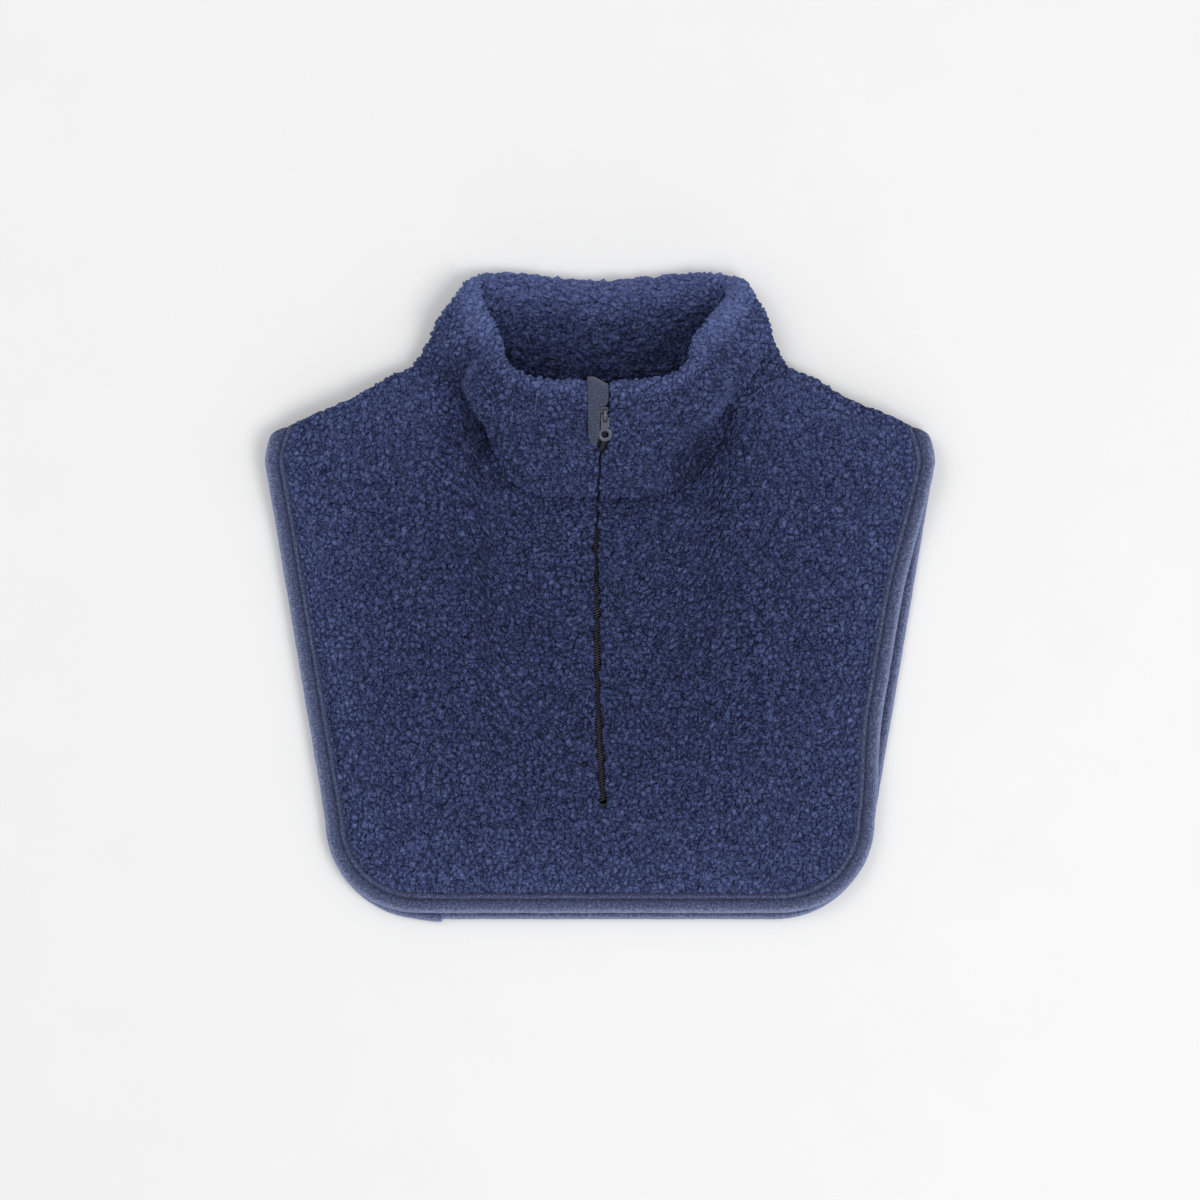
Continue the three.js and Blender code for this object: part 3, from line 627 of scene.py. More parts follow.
def bib_painted_light(x, y, layer):
    """Painted light on a bib's pile: a painted highlight towards its edges, grown as a falling exponential of
    the way to each. On the front it is below 0, painted shade, in two round painted shadows beside the
    collar's foot and along the neck seam, each a bell over the distance from its middle."""
    ways = (side_half(np.maximum(y, HEM_CORNER), layer, np.sign(x)) - BODY_INSET - np.abs(x),
            y - BODY_INSET, shoulder_height(x) - y)
    plain = 1.0
    for way, reach in zip(ways, EDGE_HIGHLIGHT_REACH):
        plain = plain * (1 - np.exp(-np.maximum(way, 0) / reach))
    bloom = 0.9 * (1 - plain)
    if layer == "front":
        for shade_x, shade_y, depth in SHADE_PLACES:
            far = np.hypot((x - shade_x * MM) / SHADE_SIZE[0], (y - shade_y * MM) / SHADE_SIZE[1])
            bloom = bloom - depth * np.exp(-(far**2))
        seam = np.interp(np.abs(x), -FRONT_SEAM[:, 0], FRONT_SEAM[:, 1])
        near_front = smooth(90 * MM, 60 * MM, np.abs(x))
        bloom = bloom - SEAM_SHADE * bell(seam, y, SEAM_SHADE_WIDTH) * near_front
    return bloom


# From a bib's edge inwards, point by point: the inset, half the wall, and how strong the pile is.
BIB_BORDER = np.array([
    (LIP_INSET, LIP_HALF, 0),
    (BINDING_WIDTH, LIP_HALF, 0),
    (BINDING_WIDTH - PILE_OVERHANG, BIB_WALL * 0.44, 0.7),
    (BINDING_WIDTH - 0.5 * MM, BIB_WALL / 2, 1),
    (BODY_INSET, BIB_WALL / 2, 1),
])
# The columns that lie along the bib's edge: of its left half, of a whole bib, and of its right half.
EDGE_COLUMNS = {-1: [0], 0: [0, -1], 1: [-1]}


def bib(layer, across, up, name):
    """A bib as one closed body: pile face, plain inner face and lip under the binding.

    The back is one grid. The front is two, with the slit for the zip between them.
    """
    rows, slit_row = bib_rows(layer, up)
    half = np.concatenate([np.linspace(0, BODY_RUN, across // 2 - 1), [BODY_RUN, BODY_RUN]])
    sides = {-1: -half[::-1], 1: half} if layer == "front" else {0: np.concatenate([-half[:0:-1], half])}
    cloth = Cloth()
    for side, columns in sides.items():
        run, row = np.meshgrid(np.where(columns == 0, side * 1e-9, columns), rows)
        r, c = np.indices(run.shape)
        from_right = columns.size - 1 - c
        edge = {-1: c, 0: np.minimum(c, from_right), 1: from_right}[side]
        ring = np.minimum(np.minimum(edge, r), len(BIB_BORDER) - 1)
        inset, wall, strength = np.moveaxis(BIB_BORDER[ring], -1, 0)
        x, y = bib_place(run, row, inset, layer, bib_slit(side) if side else None)
        middle, normal = bib_surface(x, y, layer)
        outer, pile = add_pile(middle + normal * wall[..., None], normal, strength)
        outer[..., 2] = np.maximum(outer[..., 2], BIB_FLOOR)
        inner = middle - normal * wall[..., None]
        if side:
            slit_column = -1 if side < 0 else 0
            beside = (c == c[0, slit_column]) & (r >= slit_row)
            push = np.where(beside, side * (SLIT_HALF - np.abs(x - zip_drift(y))), 0)
            under = middle - normal * SLIT_UNDER
            under[..., 0] += push
            inner[..., 0] += push
        # The pile face carries painted highlight near the edges and painted shade beside the collar's foot.
        cloth.patch(outer, pile, bib_painted_light(x, y, layer))
        cloth.patch(inner[::COARSE, ::COARSE])
        borders = [np.s_[0, :], np.s_[-1, :]]
        for cut in borders + [np.s_[:, column] for column in EDGE_COLUMNS[side]]:
            cloth.patch(np.stack([outer[cut], inner[cut]]), np.stack([pile[cut], pile[cut] * 0]))
            cloth.stitch(inner[cut], COARSE)
        if side:
            cut = np.s_[slit_row:, slit_column]
            # The slit's wall gets pile 0, the crevice's painted shade.
            wall_shade = pile[cut] * 0
            cloth.patch(np.stack([outer[cut], under[cut], inner[cut]]), np.stack([pile[cut], wall_shade, wall_shade]))
            cloth.stitch(inner[:, slit_column], COARSE)
    return cloth.build(name)


# Painted light on the collar: the most painted highlight at its rim, and how much painted shade the valleys
# take off.
RIM_PAINTED_LIGHT = 2.8
VALLEY_PAINTED_SHADE = 1.15
# The valleys of painted shade beside the collar's front, at the right and at the left: the station of the
# middle, the half width in stations, and the heights where it has faded out and where it is whole.
VALLEYS = [(2.5, 3.1), (0.85, 0.6), (0.5, 0.75), (0.15, 0.3)]


def collar(around, up, name):
    """The collar as one closed body, open in front for the zip: pile on both faces and round the rim.

    Its profile goes up the outer face, round the rim in a half circle and down the inner face.
    """
    turns = np.linspace(0, np.pi / 2, 9)[1:]
    heights = np.concatenate([np.linspace(0, 1 - RIM_SHARE, up), 1 - RIM_SHARE * (1 - np.sin(turns))])
    swell = mix(BIB_WALL / COLLAR_WALL, 1, smooth(0, SEAM_TURN, heights)) * COLLAR_WALL / 2
    halves = swell * np.concatenate([np.ones(up), np.cos(turns)])
    heights = np.concatenate([heights, heights[-2::-1]])
    halves = np.concatenate([halves, -halves[-2::-1]])
    outside = np.clip(halves / np.max(halves), -1, 1)
    rows = np.array(COLLAR_GAP)
    near = 0.01
    middle_line = collar_surface(np.zeros(len(heights)), heights)[0]
    beside = collar_surface(np.full(len(heights), near), heights)[0]
    slope = (middle_line[:, 0] - beside[:, 0]) / near
    drift = zip_drift(middle_line[:, 1] - HEM)
    deep = mix(SLIT_HALF, POCKET_HALF, smooth(0.3, 0.42, heights))
    edges = []
    for k in (1, 2):
        gap = np.interp(heights, rows[:, 0], rows[:, k] * MM)
        edges.append(mix(deep, gap, smooth(-0.2, 0.6, outside)))
    start = -(drift - edges[0]) / slope
    end = 1 - (drift + edges[1]) / slope
    share = start[:, None] + (end - start)[:, None] * np.linspace(0, 1, around)
    height = np.broadcast_to(heights[:, None], share.shape)
    middle, normal = collar_surface(share, height)[::2]
    station = share * len(SEAM_PLAN)
    thick = sum(more * bell(station, place, width) for place, width, more in THICK_PLACES)
    raised = middle + normal * (halves[:, None] * (1 + thick * smooth(0.3, 0.85, height)))[..., None]
    facing = grid_normals(raised)
    raised[..., 2] = np.maximum(raised[..., 2], COLLAR_FLOOR)
    from_foot = np.arange(len(heights))
    foot = smooth(-1, 3, np.minimum(from_foot, from_foot[::-1]))
    puffed, pile = add_pile(raised, facing, np.broadcast_to(mix(0.7, 1, foot)[:, None], share.shape))
    puffed[..., 2] = np.maximum(puffed[..., 2], COLLAR_FLOOR)
    cloth = Cloth()
    # The pile face carries painted highlight at rim, folds, face and sides, and painted shade in the valleys.
    cloth.patch(puffed, pile, collar_painted_light(share, height, outside[:, None]))
    cloth.patch(np.stack([puffed[0], puffed[-1]]), np.stack([pile[0], pile[-1]]))
    top = len(heights) // 2
    for cut, side in ((0, -1), (-1, 1)):
        outer, inner = puffed[: top + 1, cut], puffed[: top - 1 : -1, cut]
        under = middle[: top + 1, cut] + normal[: top + 1, cut] * POCKET_UNDER
        under[:, 0] = (drift + side * deep)[: top + 1]
        under = mix(under, outer, smooth(0.9, 0.99, heights[: top + 1])[:, None])
        # The slit's wall gets a fifth of the pile value, for painted shade.
        values = pile[: top + 1, cut]
        cloth.patch(np.stack([outer, under, inner]), np.stack([values, values * 0.2, values * 0.2]))
    return cloth.build(name)


def collar_painted_light(share, height, outside):
    """Painted light on the collar's pile, by share round the neck, height, and outside from -1 on
    the inner face to 1 on the outer one.

    The painted highlight is the most of four: the rim, brighter towards the back; the folds beside the front,
    bells over the stations that lean outwards with the height; the face; and the sides. The valleys past the
    folds are painted shade, bells too, wider at the right, and are taken off.
    """
    station = np.abs((share + 0.5) % 1 - 0.5) * len(SEAM_PLAN)
    behind = smooth(2.2, 4.5, station)
    outer = smooth(-0.4, 0.6, outside)
    rim = smooth(mix(0.8, 0.7, behind), 0.97, height) * mix(1.3, RIM_PAINTED_LIGHT, behind)
    rim = rim * smooth(-1.2, -0.2, outside)
    fold = 0.9 * bell(station, 1.9 + 0.9 * height, 0.42) * smooth(0.2, 0.5, height) * outer
    face = mix(mix(0.15, 1.7, smooth(0.55, 0.97, height)), 0.35, outer)
    side = smooth(2.6, 4.2, station) * smooth(0.05, 0.4, height) * outer
    painted_highlight = np.maximum(np.maximum(rim, fold), np.maximum(face, side))
    right = share % 1 > 0.5
    place, width, top, bottom = [np.where(right, *pair) for pair in VALLEYS]
    valley = bell(station, place + 0.3 * height, width) * smooth(top, bottom, height)
    return np.clip(painted_highlight - VALLEY_PAINTED_SHADE * outer * valley, -1, RIM_PAINTED_LIGHT)


def grid_normals(grid):
    """Normals of a grid of points: way along its rows crossed with way along its columns."""
    down = np.gradient(grid, axis=0)
    across = np.gradient(grid, axis=1)
    return unit(np.cross(down, across))


# The upper half of the binding's outer section, as inset from the edge and height in mm: inner edge,
# flat band with its ridge, stitched groove, full roll, outer edge.
BINDING_TOP = [
    (13.0, 0.75), (12.95, 1.2), (12.6, 1.5), (11.8, 1.62), (10.8, 1.72), (9.8, 1.9), (9.1, 1.86),
    (8.55, 1.45), (8.2, 1.12), (7.8, 1.12), (7.4, 1.5), (6.9, 1.95), (6.0, 2.3), (4.8, 2.48), (3.6, 2.5),
    (2.4, 2.36), (1.4, 2.02), (0.65, 1.45), (0.15, 0.75), (0.0, 0.0),
]
# The slot for the lip: half its height, and the insets of its points, in mm.
SLOT_HALF = 0.75
SLOT_INSETS = [10, 6, (LIP_INSET - CLEARANCE) / MM]
# Soft noise on the binding: its size, how far it moves the surface, and its seed.
BINDING_FUZZ = [(1.6 * MM, 0.10 * MM, 51), (7 * MM, 0.16 * MM, 53)]
# The binding's end laps over its start at the hem: where across, how far it tapers and how far it
# stands out.
LAP_PLACE = -95 * MM
LAP_LENGTH = 18 * MM
LAP_DEPTH = 1.7 * MM
# Painted light across the binding's width: inset from the edge in mm, and its painted light there, a painted
# highlight on the outer roll and painted shade in the groove and on the band under the pile.
BINDING_PAINTED_LIGHT = [
    (0, 1.5), (1.2, 1.0), (3, 0.2), (6.5, -0.15), (7.4, -0.3), (8, -0.65), (8.7, -0.25), (9.8, 0.12),
    (10.6, -0.35), (13, -0.6),
]


def binding_section():
    """The binding's closed section: the upper half, its mirror image below, and the slot for the lip."""
    lower = [(inset, -height) for inset, height in BINDING_TOP[-2::-1]]
    slot = [(inset, -SLOT_HALF) for inset in SLOT_INSETS]
    slot = slot + [(inset, SLOT_HALF) for inset in SLOT_INSETS[::-1]]
    return np.array(BINDING_TOP + lower + slot + BINDING_TOP[:1]) * MM


def rim_path(along_side, along_hem):
    """The edge of a bib from the right shoulder's crest down, along the hem and up to the left one:
    places across and rows."""
    rows = np.concatenate([np.linspace(0, 1, along_side), np.linspace(1, 2, 9)[1:]])
    run = np.linspace(BODY_RUN, -BODY_RUN, along_hem)
    across = np.concatenate([np.full(len(rows), BODY_RUN), run[1:-1], np.full(len(rows), -BODY_RUN)])
    row = np.concatenate([rows[::-1], np.zeros(along_hem - 2), rows])
    return across, row


def rim_points(layer, across, row, inset, height):
    """Points at an inset from a bib's edge and a height off its middle."""
    x, y = bib_place(across, row, inset, layer)
    middle, normal = bib_surface(x, y, layer)
    return middle + normal * height[..., None]


def binding(name):
    """The binding: its section carried round the front's edge and back round the back's edge.

    At the back's hem it grows outwards by a smooth step up to its lap, and drops back there.
    """
    section = binding_section()
    loops = []
    for layer, way in (("front", 1), ("back", -1)):
        across, row = [line[::way, None] for line in rim_path(along_side=180, along_hem=260)]
        under_lap = (across < LAP_PLACE) & (row == 0) & (layer == "back")
        lap = LAP_DEPTH * smooth(LAP_PLACE - LAP_LENGTH, LAP_PLACE, across) * under_lap
        loops.append(rim_points(layer, across, row, section[:, 0] - lap, section[:, 1]))
    grid = np.concatenate(loops + [loops[0][:1]])
    facing = grid_normals(grid)
    fuzz = sum(soft_noise(grid, size, seed)[..., 0] * reach for size, reach, seed in BINDING_FUZZ)
    fuzz = fuzz * (np.arange(len(section)) < 2 * len(BINDING_TOP) - 1)
    for values in (fuzz, facing):
        values[-1] = values[0]
        values[:, -1] = values[:, 0]
    grid = grid + facing * fuzz[..., None]
    grid[..., 2] = np.maximum(grid[..., 2], 0)
    # Painted light across the section: a painted highlight on the outer roll, painted shade in the groove and
    # on the band under the pile.
    tone = np.array(BINDING_PAINTED_LIGHT)
    cloth = Cloth()
    cloth.patch(grid, 0.5, np.interp(section[:, 0], tone[:, 0] * MM, tone[:, 1]))
    return cloth.build(name)


# The zip's line has BIB_STEPS points up the bib, and then more up the collar to the tapes' upper end.
BIB_STEPS = 90
TAPE_TOP = 0.93


def zip_path():
    """The zip's line on the tape's upper face, up the bib and up the collar: points, way up, way out."""
    y = np.linspace(ZIP_BOTTOM, FRONT_NECK - 0.5 * MM, BIB_STEPS)
    point = bib_surface(0 * y, y, "front")[0]
    ahead = bib_surface(0 * y, y + MM, "front")[0] - point
    height = np.linspace(0.03, TAPE_TOP, 60)
    collar_point, collar_up, collar_out = collar_surface(0 * height, height)
    up = np.concatenate([ahead, collar_up])
    out = np.concatenate([stack(0 * y, -ahead[:, 2], ahead[:, 1]), collar_out])
    up[:, 0], out[:, 0] = 0, 0
    heights = np.concatenate([0 * y, height])
    level = mix(-BIB_WALL / 2 - CLEARANCE - TAPE_EASE, -CLEARANCE, smooth(0, 0.22, heights))
    point = np.concatenate([point, collar_point])
    point[:, 0] = zip_drift(point[:, 1] - HEM)
    point = point + unit(out) * level[:, None]
    along = np.concatenate([[0], np.cumsum(np.linalg.norm(np.diff(point, axis=0), axis=1))])
    return {"point": point, "up": unit(up), "out": unit(out), "height": heights, "along": along}


ZIP = zip_path()


def on_zip(along, side, level):
    """Points on the zip: a length along it, a way to the side and a level off the tape."""
    def at(key):
        return np.stack([np.interp(along, ZIP["along"], ZIP[key][:, k]) for k in range(3)], axis=-1)

    point = at("point") + unit(at("out")) * np.asarray(level)[..., None]
    point[..., 0] += side
    return point


def zip_length(height):
    """Length along the zip at a height of the collar."""
    return float(np.interp(height, ZIP["height"][BIB_STEPS:], ZIP["along"][BIB_STEPS:]))


def coil(name):
    """The zip's two coils: a wire wound in flat oval turns up each tape, each one's heads between the
    other's."""
    start, end = STOP_LENGTH + CLEARANCE, zip_length(SLIDER_SHARE)
    turns = int((end - start) / COIL_PITCH) - 1
    reach = (CHAIN_WIDTH / 2 - COIL_WIRE + COIL_OVERLAP) / 2
    middle = reach - COIL_OVERLAP
    circle = np.linspace(0, 2 * np.pi, 7)[:, None]
    cloth = Cloth()
    for side in (-1, 1):
        phase = np.linspace(0, turns * 2 * np.pi, turns * 12 + 1) + (np.pi if side > 0 else 0)
        swing = side * np.sin(phase)
        along = start + COIL_PITCH * (0.25 + phase / (2 * np.pi))
        across = side * (middle - reach * np.cos(phase))
        level = CLEARANCE + CHAIN_THICKNESS / 2 + (CHAIN_THICKNESS / 2 - COIL_WIRE) * swing
        path = on_zip(along, across, level)
        way = unit(np.gradient(path, axis=0))
        sideways = unit(np.cross(way, np.array([0.0, 1.0, 0.35])))
        over = np.cross(way, sideways)
        ring = (sideways * COIL_WIRE)[:, None] * np.cos(circle)
        ring = ring + (over * COIL_WIRE)[:, None] * np.sin(circle)
        # Each turn's pile value is its level, 1 on top and 0 underneath, for painted shade on the underside.
        cloth.tube(path[:, None] + ring, path, (0.5 + 0.5 * swing)[:, None])
    return cloth.build(name)


def tape(side, name):
    """A zip tape: a thin strip, a flat dome across, with bells for the cord beside the coil and the
    selvedge."""
    along, across = np.linspace(0, zip_length(TAPE_TOP), 220), np.linspace(0, 1, 13)
    thick = TAPE_THICKNESS / 2 * np.sqrt(np.clip(1 - (2 * across - 1) ** 8, 0.04, 1))
    thick = thick * (0.7 + 0.3 * bell(across, 0.04, 0.08) + 0.3 * bell(across, 0.96, 0.06))
    a, s = np.meshgrid(along, side * (TAPE_GAP / 2 + across * TAPE_WIDTH), indexing="ij")
    top, bottom = [on_zip(a, s, face * thick - TAPE_THICKNESS / 2) for face in (1, -1)]
    cloth = Cloth()
    cloth.patch(top)
    cloth.patch(bottom)
    for cut in (np.s_[:, 0], np.s_[:, -1], np.s_[0], np.s_[-1]):
        cloth.patch(np.stack([top[cut], bottom[cut]]))
    return cloth.build(name)


# The garage tab from its tip up to the rim: height up the collar, left and right edges off the zip's
# middle in shares of GARAGE_WIDTH. It then folds over the rim by GARAGE_TURN degrees.
GARAGE_ROWS = [
    (0.485, -0.66, -0.48), (0.51, -0.76, -0.40), (0.55, -0.83, -0.34), (0.6, -0.87, -0.29),
    (0.66, -0.88, -0.28), (0.8, -0.88, -0.28), (0.815, -0.88, 0.08), (0.84, -0.89, 0.15),
    (0.93, -0.92, 0.17),
]
GARAGE_TURN = 180
GARAGE_RISE = 0.5 * MM
GARAGE_SLOPE = 4 * MM
# The stitch row across the tab: its height up the collar, how deep it dents, and its half width.
GARAGE_STITCH = 0.66
GARAGE_DENT = 0.55
GARAGE_DENT_WIDTH = 0.008


def garage(name):
    """The garage tab: a closed strip on the collar's outer face that folds over the rim.

    Its edges run through the rows of GARAGE_ROWS, its thickness is a flat dome across, with a dent
    along the stitch row, and its ends are thin.
    """
    rows = np.array(GARAGE_ROWS)
    up_steps, turn_steps = 70, 40
    below_rim = np.linspace(rows[0, 0], 1 - RIM_SHARE, up_steps)
    heights = np.concatenate([below_rim, np.full(turn_steps, 1 - RIM_SHARE)])
    over_rim = np.linspace(0, GARAGE_TURN, turn_steps + 1)[1:]
    turns = np.radians(np.concatenate([np.zeros(up_steps), over_rim]))
    left, right = [np.interp(heights, rows[:, 0], rows[:, k])[:, None] * GARAGE_WIDTH for k in (1, 2)]
    point, up, normal = collar_surface(0 * heights, heights)
    away = normal * np.cos(turns)[:, None] + up * np.sin(turns)[:, None]
    across = np.linspace(-1, 1, 21)
    dome = np.sqrt(np.clip(1 - across**6, 0, 1))
    along = np.linspace(0, 1, len(heights))
    ends = smooth(0, 0.04, along) * smooth(1, 0.97, along)
    dent = 1 - GARAGE_DENT * bell(heights, GARAGE_STITCH, GARAGE_DENT_WIDTH)
    half = GARAGE_THICKNESS / 2 * mix(0.25, 1, ends * dent)[:, None] * dome
    base = COLLAR_WALL / 2 + CLEARANCE + GARAGE_THICKNESS / 2 + GARAGE_RISE
    middle = zip_drift(ZIP_BOTTOM + ZIP_PLAN_LENGTH)
    cloth, faces = Cloth(), []
    for sign in (1, -1):
        grid = point[:, None] + away[:, None] * (base + sign * half)[..., None]
        grid[..., 0] = middle + mix(left, right, (across + 1) / 2)
        grid[..., 1] -= GARAGE_SLOPE * smooth(0.83, 0.93, heights)[:, None] * smooth(-0.6, 1, across)
        faces.append(grid)
        cloth.patch(grid)
    for cut in (np.s_[0], np.s_[:, 0], np.s_[-1], np.s_[:, -1]):
        cloth.patch(np.stack([faces[0][cut], faces[1][cut]]))
    return cloth.build(name)


def head_frame():
    """The slider's own axes on the zip: origin on the tape, way across, way up the zip and way out."""
    point, up, out = collar_surface(np.array([0.0]), np.array([SLIDER_SHARE]))
    up[:, 0], out[:, 0] = 0, 0
    up, out = unit(up)[0], unit(out)[0]
    origin = point[0] - out * CLEARANCE
    origin[0] = zip_drift(origin[1] - HEM)
    across = np.array([1.0, 0, 0])
    return origin, across, up, np.cross(across, up)


HEAD = head_frame()
TOP_PLATE_LOW = CLEARANCE + CHAIN_THICKNESS + CLEARANCE
TOP_PLATE_HIGH = TOP_PLATE_LOW + SLIDER_PLATE
PIN_LEVEL = TOP_PLATE_HIGH + CLEARANCE + PULLER_PIN / 2
BRIDGE_TOP = PIN_LEVEL + PULLER_PIN / 2 + CLEARANCE + 1 * MM
BRIDGE_FOOT = PULLER_WINDOW - 2 * CLEARANCE - PULLER_PIN / 2
BRIDGE_HALF = 0.5 * MM
# How far lumps of one cast body run into each other, and how fine the lattice is that fuses them.
CAST_SINK = 0.3 * MM
CAST_VOXEL = 0.14 * MM


def on_head(points):
    """Points in the slider's own axes, placed in the frame."""
    origin, across, up, out = HEAD
    return origin + points[..., :1] * across + points[..., 1:2] * up + points[..., 2:3] * out


def squared(turn, power):
    """Cosine and sine of a turn, each to a power with its sign kept: below 1, a circle made squarer."""
    cosine, sine = np.cos(turn), np.sin(turn)
    return np.sign(cosine) * np.abs(cosine) ** power, np.sign(sine) * np.abs(sine) ** power


def slab(cloth, centre, half, levels, power=5, edge=0.35 * MM):
    """A flat lump between two levels: a superellipse in plan, its cosine and sine to the power 2 over
    power, with quarter circles round its rims."""
    x, y = squared(np.linspace(0, 2 * np.pi, 41), 2 / power)
    bend = np.linspace(0, np.pi / 2, 5)
    early, late = edge * (1 - np.sin(bend)), edge * (1 - np.cos(bend))
    low, high = levels
    level = np.concatenate([[low], low + late, high - early, [high]])[:, None]
    inset = np.concatenate([early, late])
    shrink = [np.concatenate([[0], 1 - inset / size, [0]])[:, None] for size in half]
    points = stack(centre[0] + x * half[0] * shrink[0], centre[1] + y * half[1] * shrink[1], level)
    cloth.patch(on_head(points))


def bent_bar(cloth, path, half_width, half_thick):
    """A rounded bar along a path in the slider's middle plane, closed at both ends."""
    path = np.array(path)
    across = np.array([1.0, 0, 0])
    over = np.cross(across, unit(np.gradient(path, axis=0)))
    cosine, sine = squared(np.linspace(0, 2 * np.pi, 17), 0.6)
    ring = across * (cosine * half_width)[:, None] + over[:, None] * (sine * half_thick)[:, None]
    cloth.tube(on_head(path[:, None] + ring), on_head(path))


def cast(cloth, name):
    """Lumps fused into one cast body: remeshed on a fine lattice and smoothed."""
    piece = cloth.build(name)
    fuse = piece.modifiers.new("fuse", "REMESH")
    fuse.mode, fuse.voxel_size = "VOXEL", CAST_VOXEL
    soften = piece.modifiers.new("soften", "SMOOTH")
    soften.factor, soften.iterations = 0.5, 3
    bpy.context.view_layer.update()
    made = bpy.data.meshes.new_from_object(piece.evaluated_get(bpy.context.evaluated_depsgraph_get()))
    piece.modifiers.clear()
    piece.data = made
    made.shade_smooth()
    return piece


def slider(name):
    """The slider: two plates joined by a post and two flanges, with a bridge over the puller's pin.

    The bridge rises from foot to foot as a sine to a low power, so its top is nearly flat.
    """
    cloth = Cloth()
    half, end = SLIDER_WIDTH / 2, SLIDER_LENGTH / 2
    bottom = -TAPE_THICKNESS - CLEARANCE - SLIDER_PLATE
    slab(cloth, (0, 0), (half, end), (TOP_PLATE_LOW, TOP_PLATE_HIGH))
    slab(cloth, (0, 0), (half, end), (bottom, bottom + SLIDER_PLATE))
    top = TOP_PLATE_HIGH - CAST_SINK
    post = (TAPE_GAP - 2 * CLEARANCE) / 2
    slab(cloth, (0, end - post), (post, post), (bottom + CAST_SINK, top), 3, 0.2 * MM)
    flange = (half - CHAIN_WIDTH / 2 - CLEARANCE) / 2
    for side in (-1, 1):
        slab(cloth, (side * (half - flange), 0), (flange, end * 0.6), (CLEARANCE, top), 6, 0.2 * MM)
    foot = TOP_PLATE_HIGH - 0.4 * MM
    rise = BRIDGE_TOP - BRIDGE_HALF - foot
    reach = BRIDGE_FOOT - BRIDGE_HALF
    arch = [(0, -np.cos(t) * reach, foot + rise * np.sin(t) ** 0.45) for t in np.linspace(0, np.pi, 25)]
    bent_bar(cloth, arch, BRIDGE_WIDTH / 2, BRIDGE_HALF)
    return cast(cloth, name)


def puller(name):
    """The puller: a pin, two arms beside the bridge, a waist and a ring, all rounded."""
    cloth = Cloth()
    half = PULLER_THICKNESS / 2
    levels = (PIN_LEVEL - half, PIN_LEVEL + half)
    arm = ((PULLER_WIDTH - BRIDGE_WIDTH) / 2 - CLEARANCE) / 2
    window = PULLER_WINDOW / 2
    for side in (-1, 1):
        place = (side * (PULLER_WIDTH / 2 - arm), -window)
        slab(cloth, place, (arm, window + 0.5 * MM), levels, 6, 0.3 * MM)
    ring_at = -PULLER_LENGTH + PULLER_RING
    waist_end, waist_start = ring_at + (PULLER_HOLE + PULLER_RING) / 2, -PULLER_WINDOW
    place = (0, (waist_end + waist_start) / 2)
    slab(cloth, place, (PULLER_WIDTH / 2, (waist_start - waist_end) / 2 + 0.6 * MM), levels, 7, 0.3 * MM)
    turn = np.linspace(0, 2 * np.pi, 49)[:, None]
    cosine, sine = squared(np.linspace(0, 2 * np.pi, 21), 0.6)
    out = (PULLER_RING + PULLER_HOLE) / 2 + (PULLER_RING - PULLER_HOLE) / 2 * cosine
    level = PIN_LEVEL + half * sine + 0 * turn
    cloth.patch(on_head(stack(out * np.cos(turn), ring_at + out * np.sin(turn), level)))
    pin_half = PULLER_WIDTH / 2 - 0.2 * MM
    x = np.linspace(-pin_half, pin_half, 9)[:, None]
    turn = np.linspace(0, 2 * np.pi, 17)
    pin = stack(x, PULLER_PIN / 2 * np.cos(turn), PIN_LEVEL + PULLER_PIN / 2 * np.sin(turn))
    cloth.tube(on_head(pin), on_head(stack(x[:, 0], 0, PIN_LEVEL)))
    return cast(cloth, name)


def bottom_stop(name):
    """The bottom stop: a rounded metal clamp over the coil's lower end."""
    across, level = squared(np.linspace(0, 2 * np.pi, 41), 0.5)
    along = np.linspace(0, 1, 15)[:, None]
    taper = (1 - np.abs(2 * along - 1) ** 5) ** 0.3
    width, height = across * CHAIN_WIDTH / 2 * taper, level * CHAIN_THICKNESS / 2 * taper
    cloth = Cloth()
    cloth.patch(on_zip(along * STOP_LENGTH + 0 * across, width, CLEARANCE + CHAIN_THICKNESS / 2 + height))
    return cloth.build(name)


def stitches(layer, name):
    """The thread in the binding's groove: short humps, each a tube whose middle rises by a half sine."""
    across, row = rim_path(along_side=400, along_hem=600)
    inset = np.full(across.shape, GROOVE_INSET)
    top = np.array(BINDING_TOP[::-1])
    groove = np.full(across.shape, np.interp(GROOVE_INSET / MM, top[:, 0], top[:, 1]) * MM)
    line = rim_points(layer, across, row, inset, groove)
    out = unit(line - rim_points(layer, across, row, inset, groove - MM))
    along = np.concatenate([[0], np.cumsum(np.linalg.norm(np.diff(line, axis=0), axis=1))])
    count = int(along[-1] / (STITCH_LENGTH + STITCH_GAP))
    starts = np.arange(count) * (STITCH_LENGTH + STITCH_GAP) + STITCH_GAP
    t = np.linspace(0, 1, 6)
    at = starts[:, None] + t * STITCH_LENGTH
    point, normal = [np.stack([np.interp(at, along, values[:, k]) for k in range(3)], axis=-1)
                     for values in (line, out)]
    normal = unit(normal)
    side = np.cross(unit(np.gradient(point, axis=1)), normal)
    thin = np.sqrt(np.clip(1 - (2 * t - 1) ** 4, 0, 1))[:, None, None] * THREAD
    rise = (np.sin(np.pi * t) * STITCH_RISE - STITCH_SINK)[:, None]
    turn = np.linspace(0, 2 * np.pi, 6)[:, None]
    grid = (point + normal * rise)[:, :, None] + side[:, :, None] * np.cos(turn) * thin
    grid = grid + normal[:, :, None] * np.sin(turn) * thin
    cloth = Cloth()
    cloth.patch(grid)
    return cloth.build(name)


